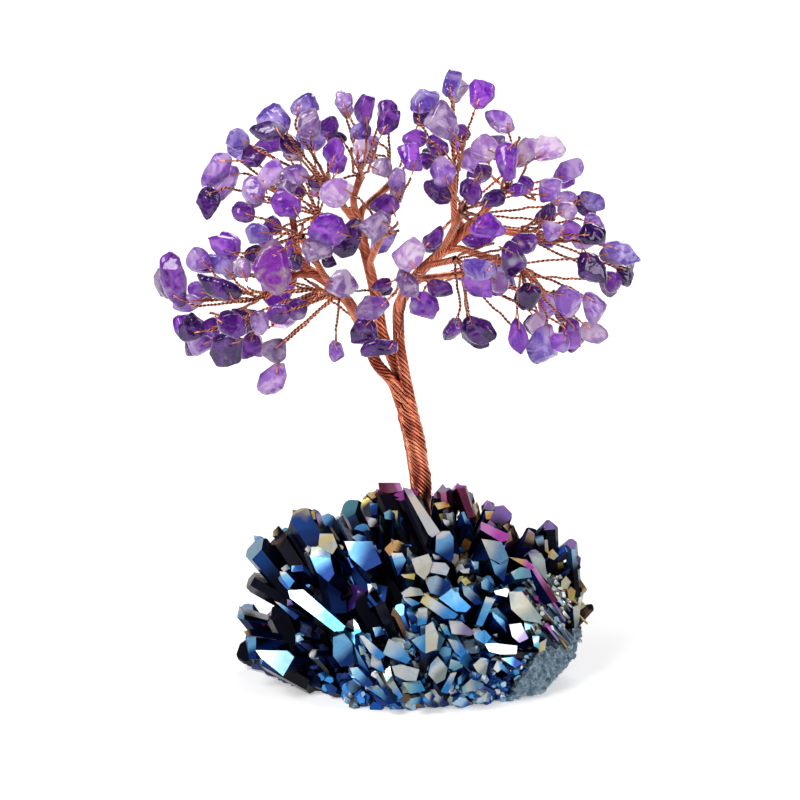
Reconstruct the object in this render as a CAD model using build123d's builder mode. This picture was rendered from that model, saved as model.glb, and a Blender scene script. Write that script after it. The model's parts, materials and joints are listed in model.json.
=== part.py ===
from build123d import *
import math
import os

import numpy as np

# A gemstone tree: drilled stone chips on twisted copper wires, gathered into
# bundles, limbs and a trunk that stands in a crystal cluster.
# +X is right, -Y is the front and +Z is up. Lengths are millimetres.

# Photograph frame. Places are read as pixel columns and rows, and turned into
# millimetres with the size of one pixel on the object.
mm_per_pixel = 0.26
axis_column = 411
ground_row = 673
camera_rise = 15

# Crown.
crown_column = 400
crown_row = 240
crown_half_columns = 252
crown_half_rows = 172
crown_half_depth = 41.0
rim_share = 0.12
back_depth_share = 0.9
back_size_share = 1.0
back_inner_share = 0.42

# Copper.
wire_radius = 0.17
stem_radius = 0.40
stem_bend = 0.8
stem_bend_least = 0.5
bend_use_share = 0.92
bend_floor_share = 0.02
room_gain = 0.02
stem_lead_shares = [(1, 1), (1, 1.6), (1.6, 1), (1.6, 1.6), (0.6, 2.0), (2.2, 0.7), (2.2, 2.2), (0.6, 0.6)]
spread_rounds = 20
stem_push = 0.011
bundle_push = 0.017
eye_bend = 0.24
bundle_radius = 1.0
bundle_bend = 2.5
bundle_lead = 5.0
knot_radius = 1.9
limb_radius = 1.6
limb_bend_share = 1.1
limb_ring = 1.9
trunk_outer_radius = 3.25
trunk_groove_radius = 2.75
trunk_strands = 7
trunk_twist = 17
trunk_step = 2.4
root_radius = 2.4
root_depth = 16.0
touch_gap = 0.02
stem_lead = 1.8
eye_lead = 1.7
leg_spread = 0.2

# Stone chips.
chip_half_thickness = 1.3
chip_slim_share = 0.4
chip_cap_share = 0.76
chip_cap_shift_share = 0.08
chip_hole_radius = 0.5
chip_hole_share = 0.5
eye_clearance = 0.2
eye_reach = 1.3
swing_reach = 2.2
chip_corners = 8
chip_grow_share = 1.1
chip_corner_share = 0.22
chip_uneven_shares = (0.9, 1.08)
chip_taper_share = 0.18
chip_outward_share = 0.35
chip_wobble_share = 0.24
swing_wobble_share = 0.12
pull_inward_share = 0.45
pull_extra_share = 0.3

# Clearances used when the chips are settled into the crown.
settle_margin = 0.22
settle_rounds = 90
settle_depth_share = 1.25
settle_side_share = 0.35
settle_rate_share = 0.55
settle_limit = 9.0
settle_away_share = 1.6
settle_step_limit = 1.5
settle_jitter = 0.05
settle_stall_step = 0.5
settle_stall_clash = 1.0
settle_crowd_share = 0.45
settle_last_rounds = 6
poke_margin = 0.1
poke_rounds = 5
poke_reach_share = 1.5
hub_free_radius = 3.6
block_size = 200
ball_inset_share = 0.8
ball_step_share = 1.1
ball_size_share = 1.08
ball_edge_share = 0.72
eye_middle_share = 0.6
eye_end_share = 1.1
eye_end_size_share = 0.7
tip_ball_share = 1.2
stem_ball_share = 1.15
stem_step_share = 3
stem_weight_share = 0.25
swing_end_share = 0.8
swing_end_size_share = 2.2
swing_middle_size_share = 2.4
stem_angle_apart = 30
bundle_angle_apart = 42

# Crystal cluster.
core_rise = 4.0
crystal_root_share = 0.46
crystal_cap_share = 0.22
crystal_root_width_share = 0.82
crystal_tip_width_share = 0.22
crystal_tip_lean_share = 0.34
rock_half_width = 36.0
rock_half_depth = 29.0
rock_forward = 3.5
rock_edge_rise = 6.0
rock_shoulder_rise = 19.0
rock_top_rise = 35.0
rock_foot_share = 0.88
rock_shoulder_share = 0.76
rock_top_share = 0.26
rock_corners = 11
face_thickness = 14.0
face_back_share = 0.85
socket_radius = 3.6
trunk_room_radius = 4.5
trunk_room_top = 75.0

seed = 11

sin_rise = math.sin(math.radians(camera_rise))
cos_rise = math.cos(math.radians(camera_rise))
screen_right = np.array([1.0, 0.0, 0.0])
screen_up = np.array([0.0, sin_rise, cos_rise])
screen_away = np.array([0.0, cos_rise, -sin_rise])


def place(column, row, depth):
    """Point of the object that is seen at a pixel, at a depth along Y."""
    rise = ((ground_row - row) * mm_per_pixel - depth * sin_rise) / cos_rise
    return np.array([(column - axis_column) * mm_per_pixel, depth, rise])


def unit(vector):
    return vector / np.linalg.norm(vector)


def crown_depth(column, row, share):
    """Depth of the crown's shell behind or before the middle plane."""
    across = (column - crown_column) / crown_half_columns
    upward = (row - crown_row) / crown_half_rows
    bulge = math.sqrt(max(rim_share**2, 1 - across**2 - upward**2))
    return crown_half_depth * bulge * share


# Limb paths: pixel column, pixel row and depth in millimetres of each bend.
limb_pixels = {
    "limb_left": [(376, 364, -2.0), (366, 335, -3.0), (350, 303, -3.0), (328, 283, -3.0), (304, 268, -2.0)],
    "limb_middle": [(382, 334, 2.5), (377, 300, 3.5), (368, 262, 3.5), (359, 226, 3.0), (353, 208, 3.0)],
    "limb_right": [(399, 345, 0.5), (398, 306, 0.0), (418, 274, 0.0), (446, 249, 1.0), (474, 222, 1.0)],
}

# Sprays: limb, share along the limb where the bundle leaves, then the pixel
# column and row of the knot and its depth in millimetres.
spray_pixels = {
    "left_outer": ("limb_left", 0.90, 262, 300, -9.0),
    "left_low": ("limb_left", 0.66, 257, 322, -3.0),
    "left_hanging": ("limb_left", 0.34, 342, 292, -15.0),
    "left_inner": ("limb_left", 0.74, 302, 238, -15.0),
    "left_upper": ("limb_left", 0.95, 292, 204, -7.0),
    "crown_left": ("limb_middle", 0.82, 328, 188, -13.0),
    "crown_top": ("limb_middle", 0.96, 362, 178, -4.0),
    "crown_centre": ("limb_middle", 0.60, 384, 235, -18.0),
    "right_top": ("limb_right", 0.80, 452, 176, -6.0),
    "right_upper": ("limb_right", 0.97, 506, 192, -9.0),
    "right_centre": ("limb_right", 0.70, 462, 214, -17.0),
    "right_outer": ("limb_right", 0.90, 522, 236, -3.0),
    "right_low": ("limb_right", 0.76, 520, 270, -5.0),
    "right_inner": ("limb_right", 0.58, 456, 262, -15.0),
    "centre_low": ("limb_right", 0.36, 408, 278, -15.0),
    "back_left": ("limb_left", 0.56, 318, 290, 17.0),
    "back_upper": ("limb_middle", 0.72, 318, 214, 18.0),
    "back_top": ("limb_middle", 0.88, 392, 182, 19.0),
    "back_right": ("limb_right", 0.85, 456, 214, 19.0),
    "back_low": ("limb_right", 0.50, 462, 272, 18.0),
}

# Chips of each front spray: pixel column and row of the middle, length and
# width in millimetres, turn of the length on the screen in degrees, and the
# share of the crown's half depth.
chip_pixels = {
    "left_outer": [
        (201, 262, 7.2, 5.2, 170, 0.75),
        (180, 281, 14.0, 6.4, 97, 1.05),
        (165, 282, 8.5, 3.8, 98, 0.2),
        (222, 294, 13.5, 4.8, 168, 1.2),
        (200, 290, 5.5, 4.5, 160, 0.1),
        (188, 304, 9.0, 3.6, 185, 0.5),
        (223, 267, 6.8, 4.8, 150, 0.6),
        (245, 270, 5.0, 4.0, 120, 0.4),
    ],
    "left_low": [
        (191, 328, 8.5, 7.0, 150, 0.9),
        (211, 329, 5.5, 5.0, 190, 0.2),
        (197, 345, 9.0, 4.2, 200, 0.4),
        (230, 351, 9.5, 8.0, 235, 1.1),
        (241, 318, 9.0, 7.0, 180, 1.1),
        (265, 322, 5.5, 4.2, 280, 0.9),
        (252, 346, 7.5, 5.5, 265, 0.3),
    ],
    "left_hanging": [
        (275, 353, 7.5, 5.5, 240, 0.7),
        (281, 316, 6.5, 5.0, 200, 0.7),
        (298, 311, 5.5, 4.5, 220, 0.3),
        (276, 277, 15.0, 9.2, 85, 1.05),
        (347, 287, 10.8, 7.0, 175, 1.05),
    ],
    "left_inner": [
        (229, 247, 8.0, 5.6, 118, 0.9),
        (249, 224, 6.0, 5.0, 140, 0.9),
        (259, 238, 6.0, 5.5, 200, 0.4),
        (273, 228, 5.2, 4.2, 150, 0.2),
        (256, 258, 5.0, 4.2, 215, 0.3),
        (291, 214, 9.2, 7.2, 170, 1.05),
        (291, 245, 5.5, 4.2, 250, 0.5),
        (316, 257, 7.3, 6.3, 320, 0.95),
        (299, 262, 4.4, 3.2, 270, 0.4),
        (329, 265, 4.0, 3.2, 300, 0.2),
    ],
    "left_upper": [
        (222, 181, 10.5, 6.5, 50, 0.8),
        (215, 207, 8.4, 6.5, 255, 0.8),
        (254, 194, 7.0, 5.2, 110, 0.6),
        (273, 178, 9.0, 4.6, 235, 1.05),
        (294, 187, 7.0, 4.5, 340, 0.5),
        (281, 199, 4.4, 3.8, 200, 0.3),
    ],
    "crown_left": [
        (239, 149, 6.4, 5.2, 165, 0.7),
        (257, 160, 6.0, 5.2, 200, 0.4),
        (270, 143, 9.8, 4.8, 178, 1.1),
        (276, 125, 9.8, 7.0, 150, 0.5),
        (292, 149, 5.6, 5.0, 160, 0.2),
        (311, 111, 9.2, 5.0, 25, 0.6),
        (311, 133, 8.2, 7.2, 110, 1.05),
        (331, 131, 6.8, 4.4, 90, 0.4),
        (336, 161, 6.6, 5.0, 100, 1.05),
        (304, 173, 6.0, 4.2, 160, 0.6),
    ],
    "crown_top": [
        (344, 105, 6.0, 3.8, 112, 0.2),
        (361, 116, 7.5, 6.6, 100, 0.8),
        (388, 114, 5.4, 4.8, 80, 0.2),
        (389, 131, 6.6, 6.0, 60, 0.9),
        (368, 142, 5.4, 3.8, 20, 0.7),
        (348, 143, 4.6, 3.2, 160, 0.3),
        (365, 156, 5.4, 4.2, 50, 0.3),
        (385, 177, 6.2, 4.8, 30, 0.9),
        (317, 187, 4.8, 3.6, 190, 0.2),
    ],
    "crown_centre": [
        (341, 198, 7.5, 7.0, 200, 1.0),
        (326, 235, 9.8, 8.4, 170, 1.0),
        (350, 243, 10.5, 6.0, 250, 0.75),
        (377, 239, 10.0, 5.6, 210, 1.1),
        (384, 210, 7.2, 5.2, 160, 0.8),
        (398, 188, 6.2, 3.8, 100, 0.6),
        (407, 167, 9.8, 6.2, 122, 1.0),
    ],
    "right_top": [
        (456, 91, 7.8, 5.6, 60, 0.4),
        (478, 99, 8.8, 5.6, 68, 0.9),
        (428, 112, 8.6, 5.2, 215, 0.5),
        (444, 130, 9.8, 8.2, 110, 1.0),
        (459, 138, 5.0, 4.4, 80, 0.3),
        (414, 137, 5.8, 4.6, 200, 0.7),
        (434, 157, 5.5, 4.4, 150, 0.3),
        (424, 166, 4.6, 3.8, 190, 0.2),
    ],
    "right_upper": [
        (475, 156, 8.6, 6.8, 140, 0.85),
        (496, 130, 8.0, 4.8, 155, 0.7),
        (495, 148, 4.4, 3.8, 90, 0.3),
        (503, 171, 9.0, 6.0, 88, 1.1),
        (524, 156, 6.6, 5.0, 60, 0.5),
        (545, 154, 10.2, 7.2, 60, 0.9),
        (567, 174, 7.8, 5.2, 42, 0.2),
        (522, 191, 4.4, 3.2, 80, 0.9),
        (480, 177, 5.0, 4.4, 200, 0.2),
        (546, 196, 7.0, 5.4, 50, 0.9),
    ],
    "right_centre": [
        (446, 178, 7.6, 6.4, 120, 0.9),
        (438, 198, 6.8, 5.0, 140, 0.7),
        (467, 208, 7.5, 5.8, 95, 0.8),
        (491, 207, 7.0, 3.6, 12, 1.15),
        (484, 227, 9.8, 6.2, 15, 1.0),
        (508, 199, 3.4, 3.0, 40, 1.1),
    ],
    "right_outer": [
        (545, 217, 5.0, 4.0, 30, 0.5),
        (562, 202, 6.6, 3.6, 10, 0.2),
        (588, 205, 6.6, 4.2, 328, 0.6),
        (563, 217, 4.2, 3.6, 350, 0.9),
        (549, 236, 5.4, 4.8, 0, 0.9),
        (566, 238, 5.2, 4.6, 10, 0.6),
        (584, 238, 6.2, 5.4, 5, 1.05),
        (593, 236, 11.0, 5.4, 294, 0.2),
        (622, 257, 11.2, 5.6, 343, 0.7),
        (587, 273, 10.6, 7.4, 300, 1.0),
        (611, 284, 5.6, 4.4, 302, 0.3),
        (624, 277, 5.6, 3.8, 292, 0.1),
    ],
    "right_low": [
        (526, 299, 6.4, 5.2, 290, 1.0),
        (545, 309, 7.4, 4.4, 300, 0.4),
        (566, 304, 9.0, 7.0, 300, 1.0),
        (594, 312, 10.4, 6.4, 305, 0.6),
        (538, 325, 6.4, 5.6, 260, 0.1),
        (541, 348, 11.0, 8.6, 262, 0.9),
        (572, 336, 8.2, 6.0, 290, 0.4),
        (593, 335, 7.4, 6.2, 310, 0.1),
        (556, 344, 5.6, 5.0, 40, 1.3),
    ],
    "right_inner": [
        (477, 250, 8.6, 5.0, 22, 0.8),
        (472, 270, 11.2, 5.0, 355, 1.05),
        (480, 287, 10.2, 7.0, 310, 0.8),
        (497, 284, 6.4, 5.4, 330, 0.3),
        (519, 246, 8.4, 4.4, 350, 0.9),
        (509, 271, 10.6, 5.4, 280, 1.05),
        (451, 332, 6.6, 4.4, 222, 0.9),
        (476, 334, 9.6, 5.6, 322, 0.9),
    ],
    "centre_low": [
        (404, 254, 8.8, 8.0, 100, 1.0),
        (432, 243, 5.6, 4.0, 60, 0.8),
        (407, 294, 10.6, 5.0, 288, 1.05),
        (423, 309, 7.6, 6.2, 300, 0.8),
        (439, 292, 6.4, 5.0, 330, 0.7),
        (383, 287, 4.6, 3.0, 190, 0.3),
        (371, 310, 9.6, 5.2, 185, 0.9),
        (365, 336, 8.8, 6.4, 260, 0.8),
        (379, 350, 10.2, 4.6, 5, 1.05),
    ],
}

# Chips that swing on their wire eyes: name, spray, then the chip as above.
swing_pixels = [
    ("hanging_chip_long_stem", "left_hanging", (274, 380, 9.8, 6.6, 236, 0.8)),
    ("hanging_chip_small", "left_hanging", (339, 354, 6.2, 4.6, 283, 0.9)),
    ("hanging_chip_speckled", "right_low", (516, 341, 10.4, 5.0, 279, 0.9)),
]

# Every second front chip has a partner at the same pixel behind the middle.
back_every = 2

# Crystals: pixel column and row of the tip, depth and radius in millimetres.
crystal_pixels = [
    (246, 538, -3.0, 3.2), (281, 531, -8.0, 3.6), (293, 509, 3.0, 3.0), (330, 514, -1.0, 3.0),
    (329, 537, -14.0, 4.4), (361, 545, -18.0, 3.8), (285, 566, -17.0, 3.4), (242, 577, -8.0, 3.6),
    (236, 606, -12.0, 3.6), (275, 600, -24.0, 2.4), (288, 590, -22.0, 2.4), (229, 647, -12.0, 4.4),
    (254, 662, -24.0, 5.0), (292, 640, -31.0, 4.0), (388, 512, -7.0, 3.2), (366, 504, 4.0, 3.6),
    (403, 484, -2.0, 3.4), (399, 543, -17.0, 3.2), (424, 556, -25.0, 5.0), (391, 604, -32.0, 4.2),
    (346, 625, -33.0, 4.2), (364, 641, -36.0, 2.6), (424, 634, -39.0, 4.8), (394, 648, -39.0, 3.0),
    (436, 668, -37.0, 2.6), (456, 626, -37.0, 3.4), (436, 596, -33.0, 3.2), (443, 488, 4.0, 2.8),
    (460, 484, -2.0, 3.0), (472, 497, -8.0, 3.0), (489, 503, -9.0, 3.6), (489, 537, -18.0, 4.8),
    (445, 532, -17.0, 3.6), (508, 541, -12.0, 3.0), (486, 606, -33.0, 3.6), (500, 586, -26.0, 2.8),
    (520, 592, -27.0, 3.6), (516, 629, -33.0, 2.8), (551, 523, -6.0, 3.8), (531, 528, -2.0, 3.0),
    (572, 540, -2.0, 3.6), (536, 563, -17.0, 3.2), (558, 582, -17.0, 2.8), (580, 592, -12.0, 3.2),
    (595, 610, -3.0, 3.2), (590, 566, 6.0, 3.6), (470, 655, -36.0, 3.0), (330, 662, -33.0, 4.6),
    (262, 625, -20.0, 3.2), (312, 566, -20.0, 3.4), (312, 606, -28.0, 3.4), (352, 580, -28.0, 3.6),
    (380, 572, -26.0, 3.2), (460, 566, -25.0, 3.4), (524, 556, -10.0, 3.2), (540, 618, -24.0, 3.4),
    (562, 612, -18.0, 3.0), (345, 498, 9.0, 3.4), (425, 486, 10.0, 3.2), (505, 500, 6.0, 3.4),
    (266, 558, 6.0, 3.4), (312, 530, -4.0, 3.2), (408, 520, -12.0, 2.8), (420, 600, -37.0, 3.0),
]

# Crystals that lean across the others: tip, then root, each as pixel column,
# pixel row and depth, and the radius.
leaning_pixels = [
    ((401, 485, -5), (440, 542, -14), 2.2),
    ((366, 492, 2), (398, 560, -10), 4.4),
    ((385, 486, -1), (420, 552, -13), 3.6),
    ((289, 588, -24), (346, 630, -28), 2.8),
    ((326, 560, -20), (352, 622, -24), 3.4),
    ((275, 600, -27), (330, 640, -20), 1.9),
    ((361, 630, -39), (388, 668, -34), 2.2),
    ((455, 585, -30), (424, 617, -31), 2.4),
    ((478, 522, -14), (508, 544, -12), 2.4),
    ((516, 556, -19), (556, 604, -16), 1.9),
    ((448, 496, -3), (452, 540, -14), 3.0),
    ((463, 500, -6), (468, 545, -14), 2.8),
]
# Corners of the rock's broken face: pixel column, pixel row and depth.
face_pixels = [
    (506, 700, -28),
    (543, 693, -24),
    (576, 660, -11),
    (585, 632, -2),
    (566, 627, -6),
    (546, 640, -14),
    (533, 662, -21),
    (519, 679, -26),
]
# Crystals on the back: turn round the core and rise in degrees, and radius.
back_crystals = [
    (8, 20, 4.4), (30, 34, 4.2), (26, 8, 4.6), (50, 16, 4.2), (54, 44, 4.0), (74, 8, 4.8),
    (82, 30, 4.4), (76, 54, 3.8), (100, 16, 4.2), (108, 42, 4.2), (124, 10, 4.8), (132, 34, 4.2),
    (150, 20, 4.4), (154, 44, 3.8), (172, 12, 4.6),
]
back_crystal_wide = 45.0
back_crystal_deep = 33.0
back_crystal_high = 49.0
back_reach_shares = (0.9, 1.05)

rng = np.random.default_rng(seed)
os.makedirs("parts", exist_ok=True)


def save(part, name):
    part.label = name
    export_step(part, f"parts/{name}.step")


def bent_path(points, radius):
    """Straight runs joined by tangent arcs; nearly straight bends are dropped."""
    kept = [points[0]]
    for index in range(1, len(points) - 1):
        before = unit(points[index] - kept[-1])
        after = unit(points[index + 1] - points[index])
        if before @ after < math.cos(math.radians(4)):
            kept.append(points[index])
    kept.append(points[-1])
    with BuildLine() as path:
        reached = kept[0]
        for before, bend, after in zip(kept, kept[1:], kept[2:]):
            way_in, way_out = unit(bend - before), unit(after - bend)
            half = math.acos(np.clip(way_in @ way_out, -1, 1)) / 2
            start = bend - way_in * radius * math.tan(half)
            end = bend + way_out * radius * math.tan(half)
            middle = bend + unit(way_out - way_in) * (radius / math.cos(half) - radius)
            Line(tuple(reached), tuple(start))
            ThreePointArc(tuple(start), tuple(middle), tuple(end))
            reached = end
        Line(tuple(reached), tuple(kept[-1]))
    return path.line


def rod(points, radius, bend):
    """Round wire of one radius along a bent path."""
    path = bent_path(points, bend)
    with BuildPart() as wire:
        with BuildSketch(Plane(origin=path @ 0, z_dir=path % 0)):
            Circle(radius)
        sweep(path=path)
    return wire.part


def biggest(part):
    return max(part.solids(), key=lambda solid: solid.volume)


def bounds_meet(one, other):
    a, b = one.bounding_box(), other.bounding_box()
    low = [a.min.X > b.max.X, a.min.Y > b.max.Y, a.min.Z > b.max.Z]
    high = [b.min.X > a.max.X, b.min.Y > a.max.Y, b.min.Z > a.max.Z]
    return not any(low + high)


# Trunk: a lobed section that turns as it climbs, like a twisted rope.
trunk_pixels = [(421, 522), (421, 480), (417, 455), (411, 425), (407, 405), (401, 384)]
trunk_points = [place(column, row, 0) for column, row in trunk_pixels]


def along(points, share):
    """Point and direction at a share of a polyline's length."""
    lengths = [np.linalg.norm(b - a) for a, b in zip(points, points[1:])]
    left = share * sum(lengths)
    for a, b, length in zip(points, points[1:], lengths):
        if left <= length:
            return a + (b - a) * left / length, unit(b - a)
        left -= length
    return points[-1], unit(points[-1] - points[-2])


trunk_length = sum(np.linalg.norm(b - a) for a, b in zip(trunk_points, trunk_points[1:]))
trunk_sections = round(trunk_length / trunk_step)
trunk_foot = trunk_points[0]
trunk_head, trunk_head_way = along(trunk_points, 1.0)


def lobed(turn):
    corners = []
    for strand in range(trunk_strands * 2):
        angle = math.radians(turn) + math.pi * strand / trunk_strands
        radius = trunk_outer_radius if strand % 2 else trunk_groove_radius
        corners.append((radius * math.cos(angle), radius * math.sin(angle)))
    return corners


with BuildPart() as trunk:
    for section in range(trunk_sections + 1):
        centre, way = along(trunk_points, section / trunk_sections)
        sideways = unit(np.cross((0, 1, 0), way))
        with BuildSketch(Plane(origin=tuple(centre), x_dir=tuple(sideways), z_dir=tuple(way))):
            Polygon(*lobed(section * trunk_twist), align=None)
    loft(ruled=True)
    with BuildSketch(Plane.XY.offset(trunk_foot[2] - root_depth)):
        with Locations((trunk_foot[0], trunk_foot[1])):
            Circle(root_radius)
    extrude(amount=root_depth + trunk_step)
save(trunk.part, "trunk")

# Limbs stand side by side on the trunk's flat top.
limb_parts = {}
limb_points = {}
for name, pixels in limb_pixels.items():
    bends = [place(*pixel) for pixel in pixels]
    aside = bends[0] - trunk_head
    aside = unit(aside - (aside @ trunk_head_way) * trunk_head_way)
    limb_points[name] = bends
    limb_parts[name] = aside
ring_start = math.atan2(*(limb_parts["limb_left"] @ np.array(axis) for axis in ((0, 1, 0), (1, 0, 0))))
for index, name in enumerate(["limb_left", "limb_middle", "limb_right"]):
    angle = ring_start - 2 * math.pi * index / len(limb_pixels)
    side = np.array([math.cos(angle), math.sin(angle), 0])
    side = unit(side - (side @ trunk_head_way) * trunk_head_way)
    start = trunk_head + side * limb_ring + trunk_head_way * touch_gap
    lead = start + trunk_head_way * limb_radius
    limb_points[name] = [start, lead] + limb_points[name]
    limb_parts[name] = rod(limb_points[name], limb_radius, limb_radius * limb_bend_share)
    save(limb_parts[name], name)

# Bundles: each leaves its limb, bends once and ends in a round knot.
hubs = {name: place(*row[2:]) for name, row in spray_pixels.items()}
bundle_parts = {}
bundle_points = {}
laid = {name: [part] for name, part in limb_parts.items()}
for name, (limb, share, column, row, depth) in spray_pixels.items():
    start, way = along(limb_points[limb], share)
    hub = hubs[name]
    reach = np.linalg.norm(hub - start)
    elbow = start + unit(way + unit(hub - start)) * min(bundle_lead, reach / 3)
    end = hub - unit(hub - elbow) * knot_radius / 2
    bundle_points[name] = [start, elbow, hub]
    with BuildPart() as bundle:
        add(rod([start, elbow, end], bundle_radius, bundle_bend / 2))
        with Locations(Plane(origin=tuple(hub), z_dir=tuple(hub - elbow))):
            Sphere(knot_radius)
        for neighbour in laid[limb]:
            if bounds_meet(bundle.part, neighbour):
                add(neighbour, mode=Mode.SUBTRACT)
    bundle_parts[name] = biggest(bundle.part)
    laid[limb].append(bundle_parts[name])


# Chips: a record of each one's place and directions.
def chip_record(spray, column, row, length, width, turn, share, back=False, swings=False, name=None):
    depth = crown_depth(column, row, share) * (back_depth_share if back else -1)
    centre = place(column, row, depth)
    middle = place(crown_column, crown_row, 0)
    facing = -screen_away * (-1 if back else 1)
    outward = unit(centre - middle)
    wobble = rng.uniform(-1, 1, 3)
    tilt = swing_wobble_share if swings else chip_wobble_share
    face = unit(facing + outward * chip_outward_share + wobble * tilt)
    angle = math.radians(turn)
    run = screen_right * math.cos(angle) + screen_up * math.sin(angle)
    run = unit(run - (run @ face) * face)
    if not swings and run @ unit(hubs[spray] - centre) > 0:
        run = -run
    half_length, half_width = length * chip_grow_share / 2, width * chip_grow_share / 2
    half_thickness = min(chip_half_thickness, half_width * (1 - chip_slim_share))
    corners = []
    for corner in range(chip_corners):
        shifted = corner + rng.uniform(-chip_corner_share, chip_corner_share)
        corner_angle = 2 * math.pi * shifted / chip_corners
        grow = rng.uniform(*chip_uneven_shares)
        taper = 1 - chip_taper_share * max(0.0, -math.cos(corner_angle))
        corner_x = half_length * grow * math.cos(corner_angle)
        corner_y = half_width * grow * taper * math.sin(corner_angle)
        corners.append((corner_x, corner_y))
    return {
        "spray": spray, "centre": centre, "home": centre.copy(), "face": face, "run": run,
        "half_length": half_length, "half_width": half_width, "half_thickness": half_thickness,
        "corners": corners, "swings": swings, "name": name,
    }


def edge_distance(corners, start, way):
    """Distance from a point inside a polygon to its edge along a direction."""
    best = 0
    for (ax, ay), (bx, by) in zip(corners, corners[1:] + corners[:1]):
        ex, ey = bx - ax, by - ay
        cross = way[0] * ey - way[1] * ex
        if abs(cross) > 0:
            along_way = ((ax - start[0]) * ey - (ay - start[1]) * ex) / cross
            along_edge = ((ax - start[0]) * way[1] - (ay - start[1]) * way[0]) / cross
            if along_way > 0 and 0 <= along_edge <= 1:
                best = max(best, along_way)
    return best


def trace(chip):
    """Hole, eye directions and stem bends that follow from a chip's place."""
    run, face = chip["run"], chip["face"]
    across = np.cross(face, run)
    hole_shift = chip["half_length"] * chip_hole_share
    hole = chip["centre"] - run * hole_shift
    to_hub = hubs[chip["spray"]] - hole
    pull = to_hub - (to_hub @ face) * face
    pull = unit(pull) if np.linalg.norm(pull) > 0 else -run
    if chip["swings"]:
        pull = np.array([0, 0, 1.0]) - face[2] * face
        pull = unit(pull)
    short = pull_inward_share - pull @ -run
    if short > 0:
        pull = unit(pull - run * (short + pull_extra_share))
    flat_way = (pull @ run, pull @ across)
    edge = edge_distance(chip["corners"], (-hole_shift, 0), flat_way)
    reach = edge + (swing_reach if chip["swings"] else eye_reach)
    tip = hole + pull * reach
    knee = tip + pull * eye_lead
    chip.update(hole=hole, hole_shift=hole_shift, pull=pull, edge=edge, reach=reach, tip=tip, knee=knee)


chips = []
for spray, rows in chip_pixels.items():
    for row in rows:
        chips.append(chip_record(spray, *row))
for name, spray, row in swing_pixels:
    chips.append(chip_record(spray, *row, swings=True, name=name))
back_names = [name for name in spray_pixels if name.startswith("back")]
front_rows = [row for rows in chip_pixels.values() for row in rows]
for number, (column, row, length, width, turn, share) in enumerate(front_rows[::back_every]):
    far = {}
    for name in back_names:
        far[name] = abs(spray_pixels[name][2] - column) + abs(spray_pixels[name][3] - row)
    near = min(far, key=far.get)
    sizes = (length * back_size_share, width * back_size_share)
    depth_share = back_inner_share if number % 3 == 1 else 1.0
    chips.append(chip_record(near, column, row, *sizes, turn, depth_share, back=True))


def bend_room(points):
    """Largest bend radius that the runs of a stem leave room for."""
    bend = stem_bend
    last = len(points) - 2
    for index, (a, b, c) in enumerate(zip(points, points[1:], points[2:])):
        turn = math.acos(np.clip(unit(b - a) @ unit(c - b), -1, 1))
        before = np.linalg.norm(b - a) / (1 if index == 0 else 2)
        after = np.linalg.norm(c - b) / (1 if index + 1 == last else 2)
        bend = min(bend, min(before, after) * bend_use_share / max(math.tan(turn / 2), bend_floor_share))
    return bend


def route(chip, hub, way):
    """Stem bends from the knot to the eye, with the shortest leads that work."""
    best = None
    for knot_lead, tip_lead in stem_lead_shares:
        points = [
            hub + way * (knot_radius + touch_gap),
            hub + way * (knot_radius + stem_lead * knot_lead),
            chip["tip"] + chip["pull"] * eye_lead * tip_lead,
            chip["tip"] + chip["pull"] * touch_gap,
        ]
        room = bend_room(points)
        if best is None or room > best[0] + room_gain:
            best = (room, points)
        if room >= stem_bend_least:
            break
    chip["room"], chip["stem"] = best


def spread_stems():
    """Directions in which the stems leave their knots, kept apart."""
    for spray, hub in hubs.items():
        members = [chip for chip in chips if chip["spray"] == spray]
        if not members:
            continue
        bundle_way = unit(bundle_points[spray][1] - hub)
        ways = np.array([unit(chip["knee"] - hub) for chip in members])
        for _ in range(spread_rounds):
            angles = np.degrees(np.arccos(np.clip(ways @ ways.T, -1, 1)))
            np.fill_diagonal(angles, 180)
            lack = np.maximum(0, stem_angle_apart - angles)
            to_bundle = np.degrees(np.arccos(np.clip(ways @ bundle_way, -1, 1)))
            bundle_lack = np.maximum(0, bundle_angle_apart - to_bundle)
            if not lack.any() and not bundle_lack.any():
                break
            apart = ways[:, None] - ways[None]
            push = (apart * lack[:, :, None]).sum(1) * stem_push
            push = push + (ways - bundle_way) * bundle_lack[:, None] * bundle_push
            ways = ways + push
            ways = ways / np.linalg.norm(ways, axis=1)[:, None]
        for chip, way in zip(members, ways):
            route(chip, hub, way)


def ball_grid(chip):
    """Balls that fill a chip and its eye, as centre and radius."""
    across = np.cross(chip["face"], chip["run"])
    radius = chip["half_thickness"]
    step = radius * ball_step_share
    inner_length = chip["half_length"] - radius * ball_inset_share
    inner_width = chip["half_width"] - radius * ball_inset_share
    balls = []
    along_count = max(1, round(inner_length * 2 / step))
    side_count = max(1, round(inner_width * 2 / step))
    for i in range(along_count + 1):
        for j in range(side_count + 1):
            x = (i / along_count * 2 - 1) * inner_length
            y = (j / side_count * 2 - 1) * inner_width
            if (x / chip["half_length"]) ** 2 + (y / chip["half_width"]) ** 2 < ball_edge_share:
                balls.append((chip["centre"] + chip["run"] * x + across * y, radius * ball_size_share))
    eye_radius = radius + eye_clearance + wire_radius * 2
    balls.append((chip["hole"], eye_radius))
    to_edge = chip["pull"] * chip["edge"]
    balls.append((chip["hole"] + to_edge * eye_middle_share, eye_radius))
    balls.append((chip["hole"] + to_edge * eye_end_share, eye_radius * eye_end_size_share))
    balls.append((chip["tip"], stem_radius * tip_ball_share))
    if chip["swings"]:
        far_end = chip["centre"] + chip["run"] * chip["half_length"] * swing_end_share
        balls.append((far_end, radius * swing_end_size_share))
        balls.append((chip["centre"], radius * swing_middle_size_share))
    return balls


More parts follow.
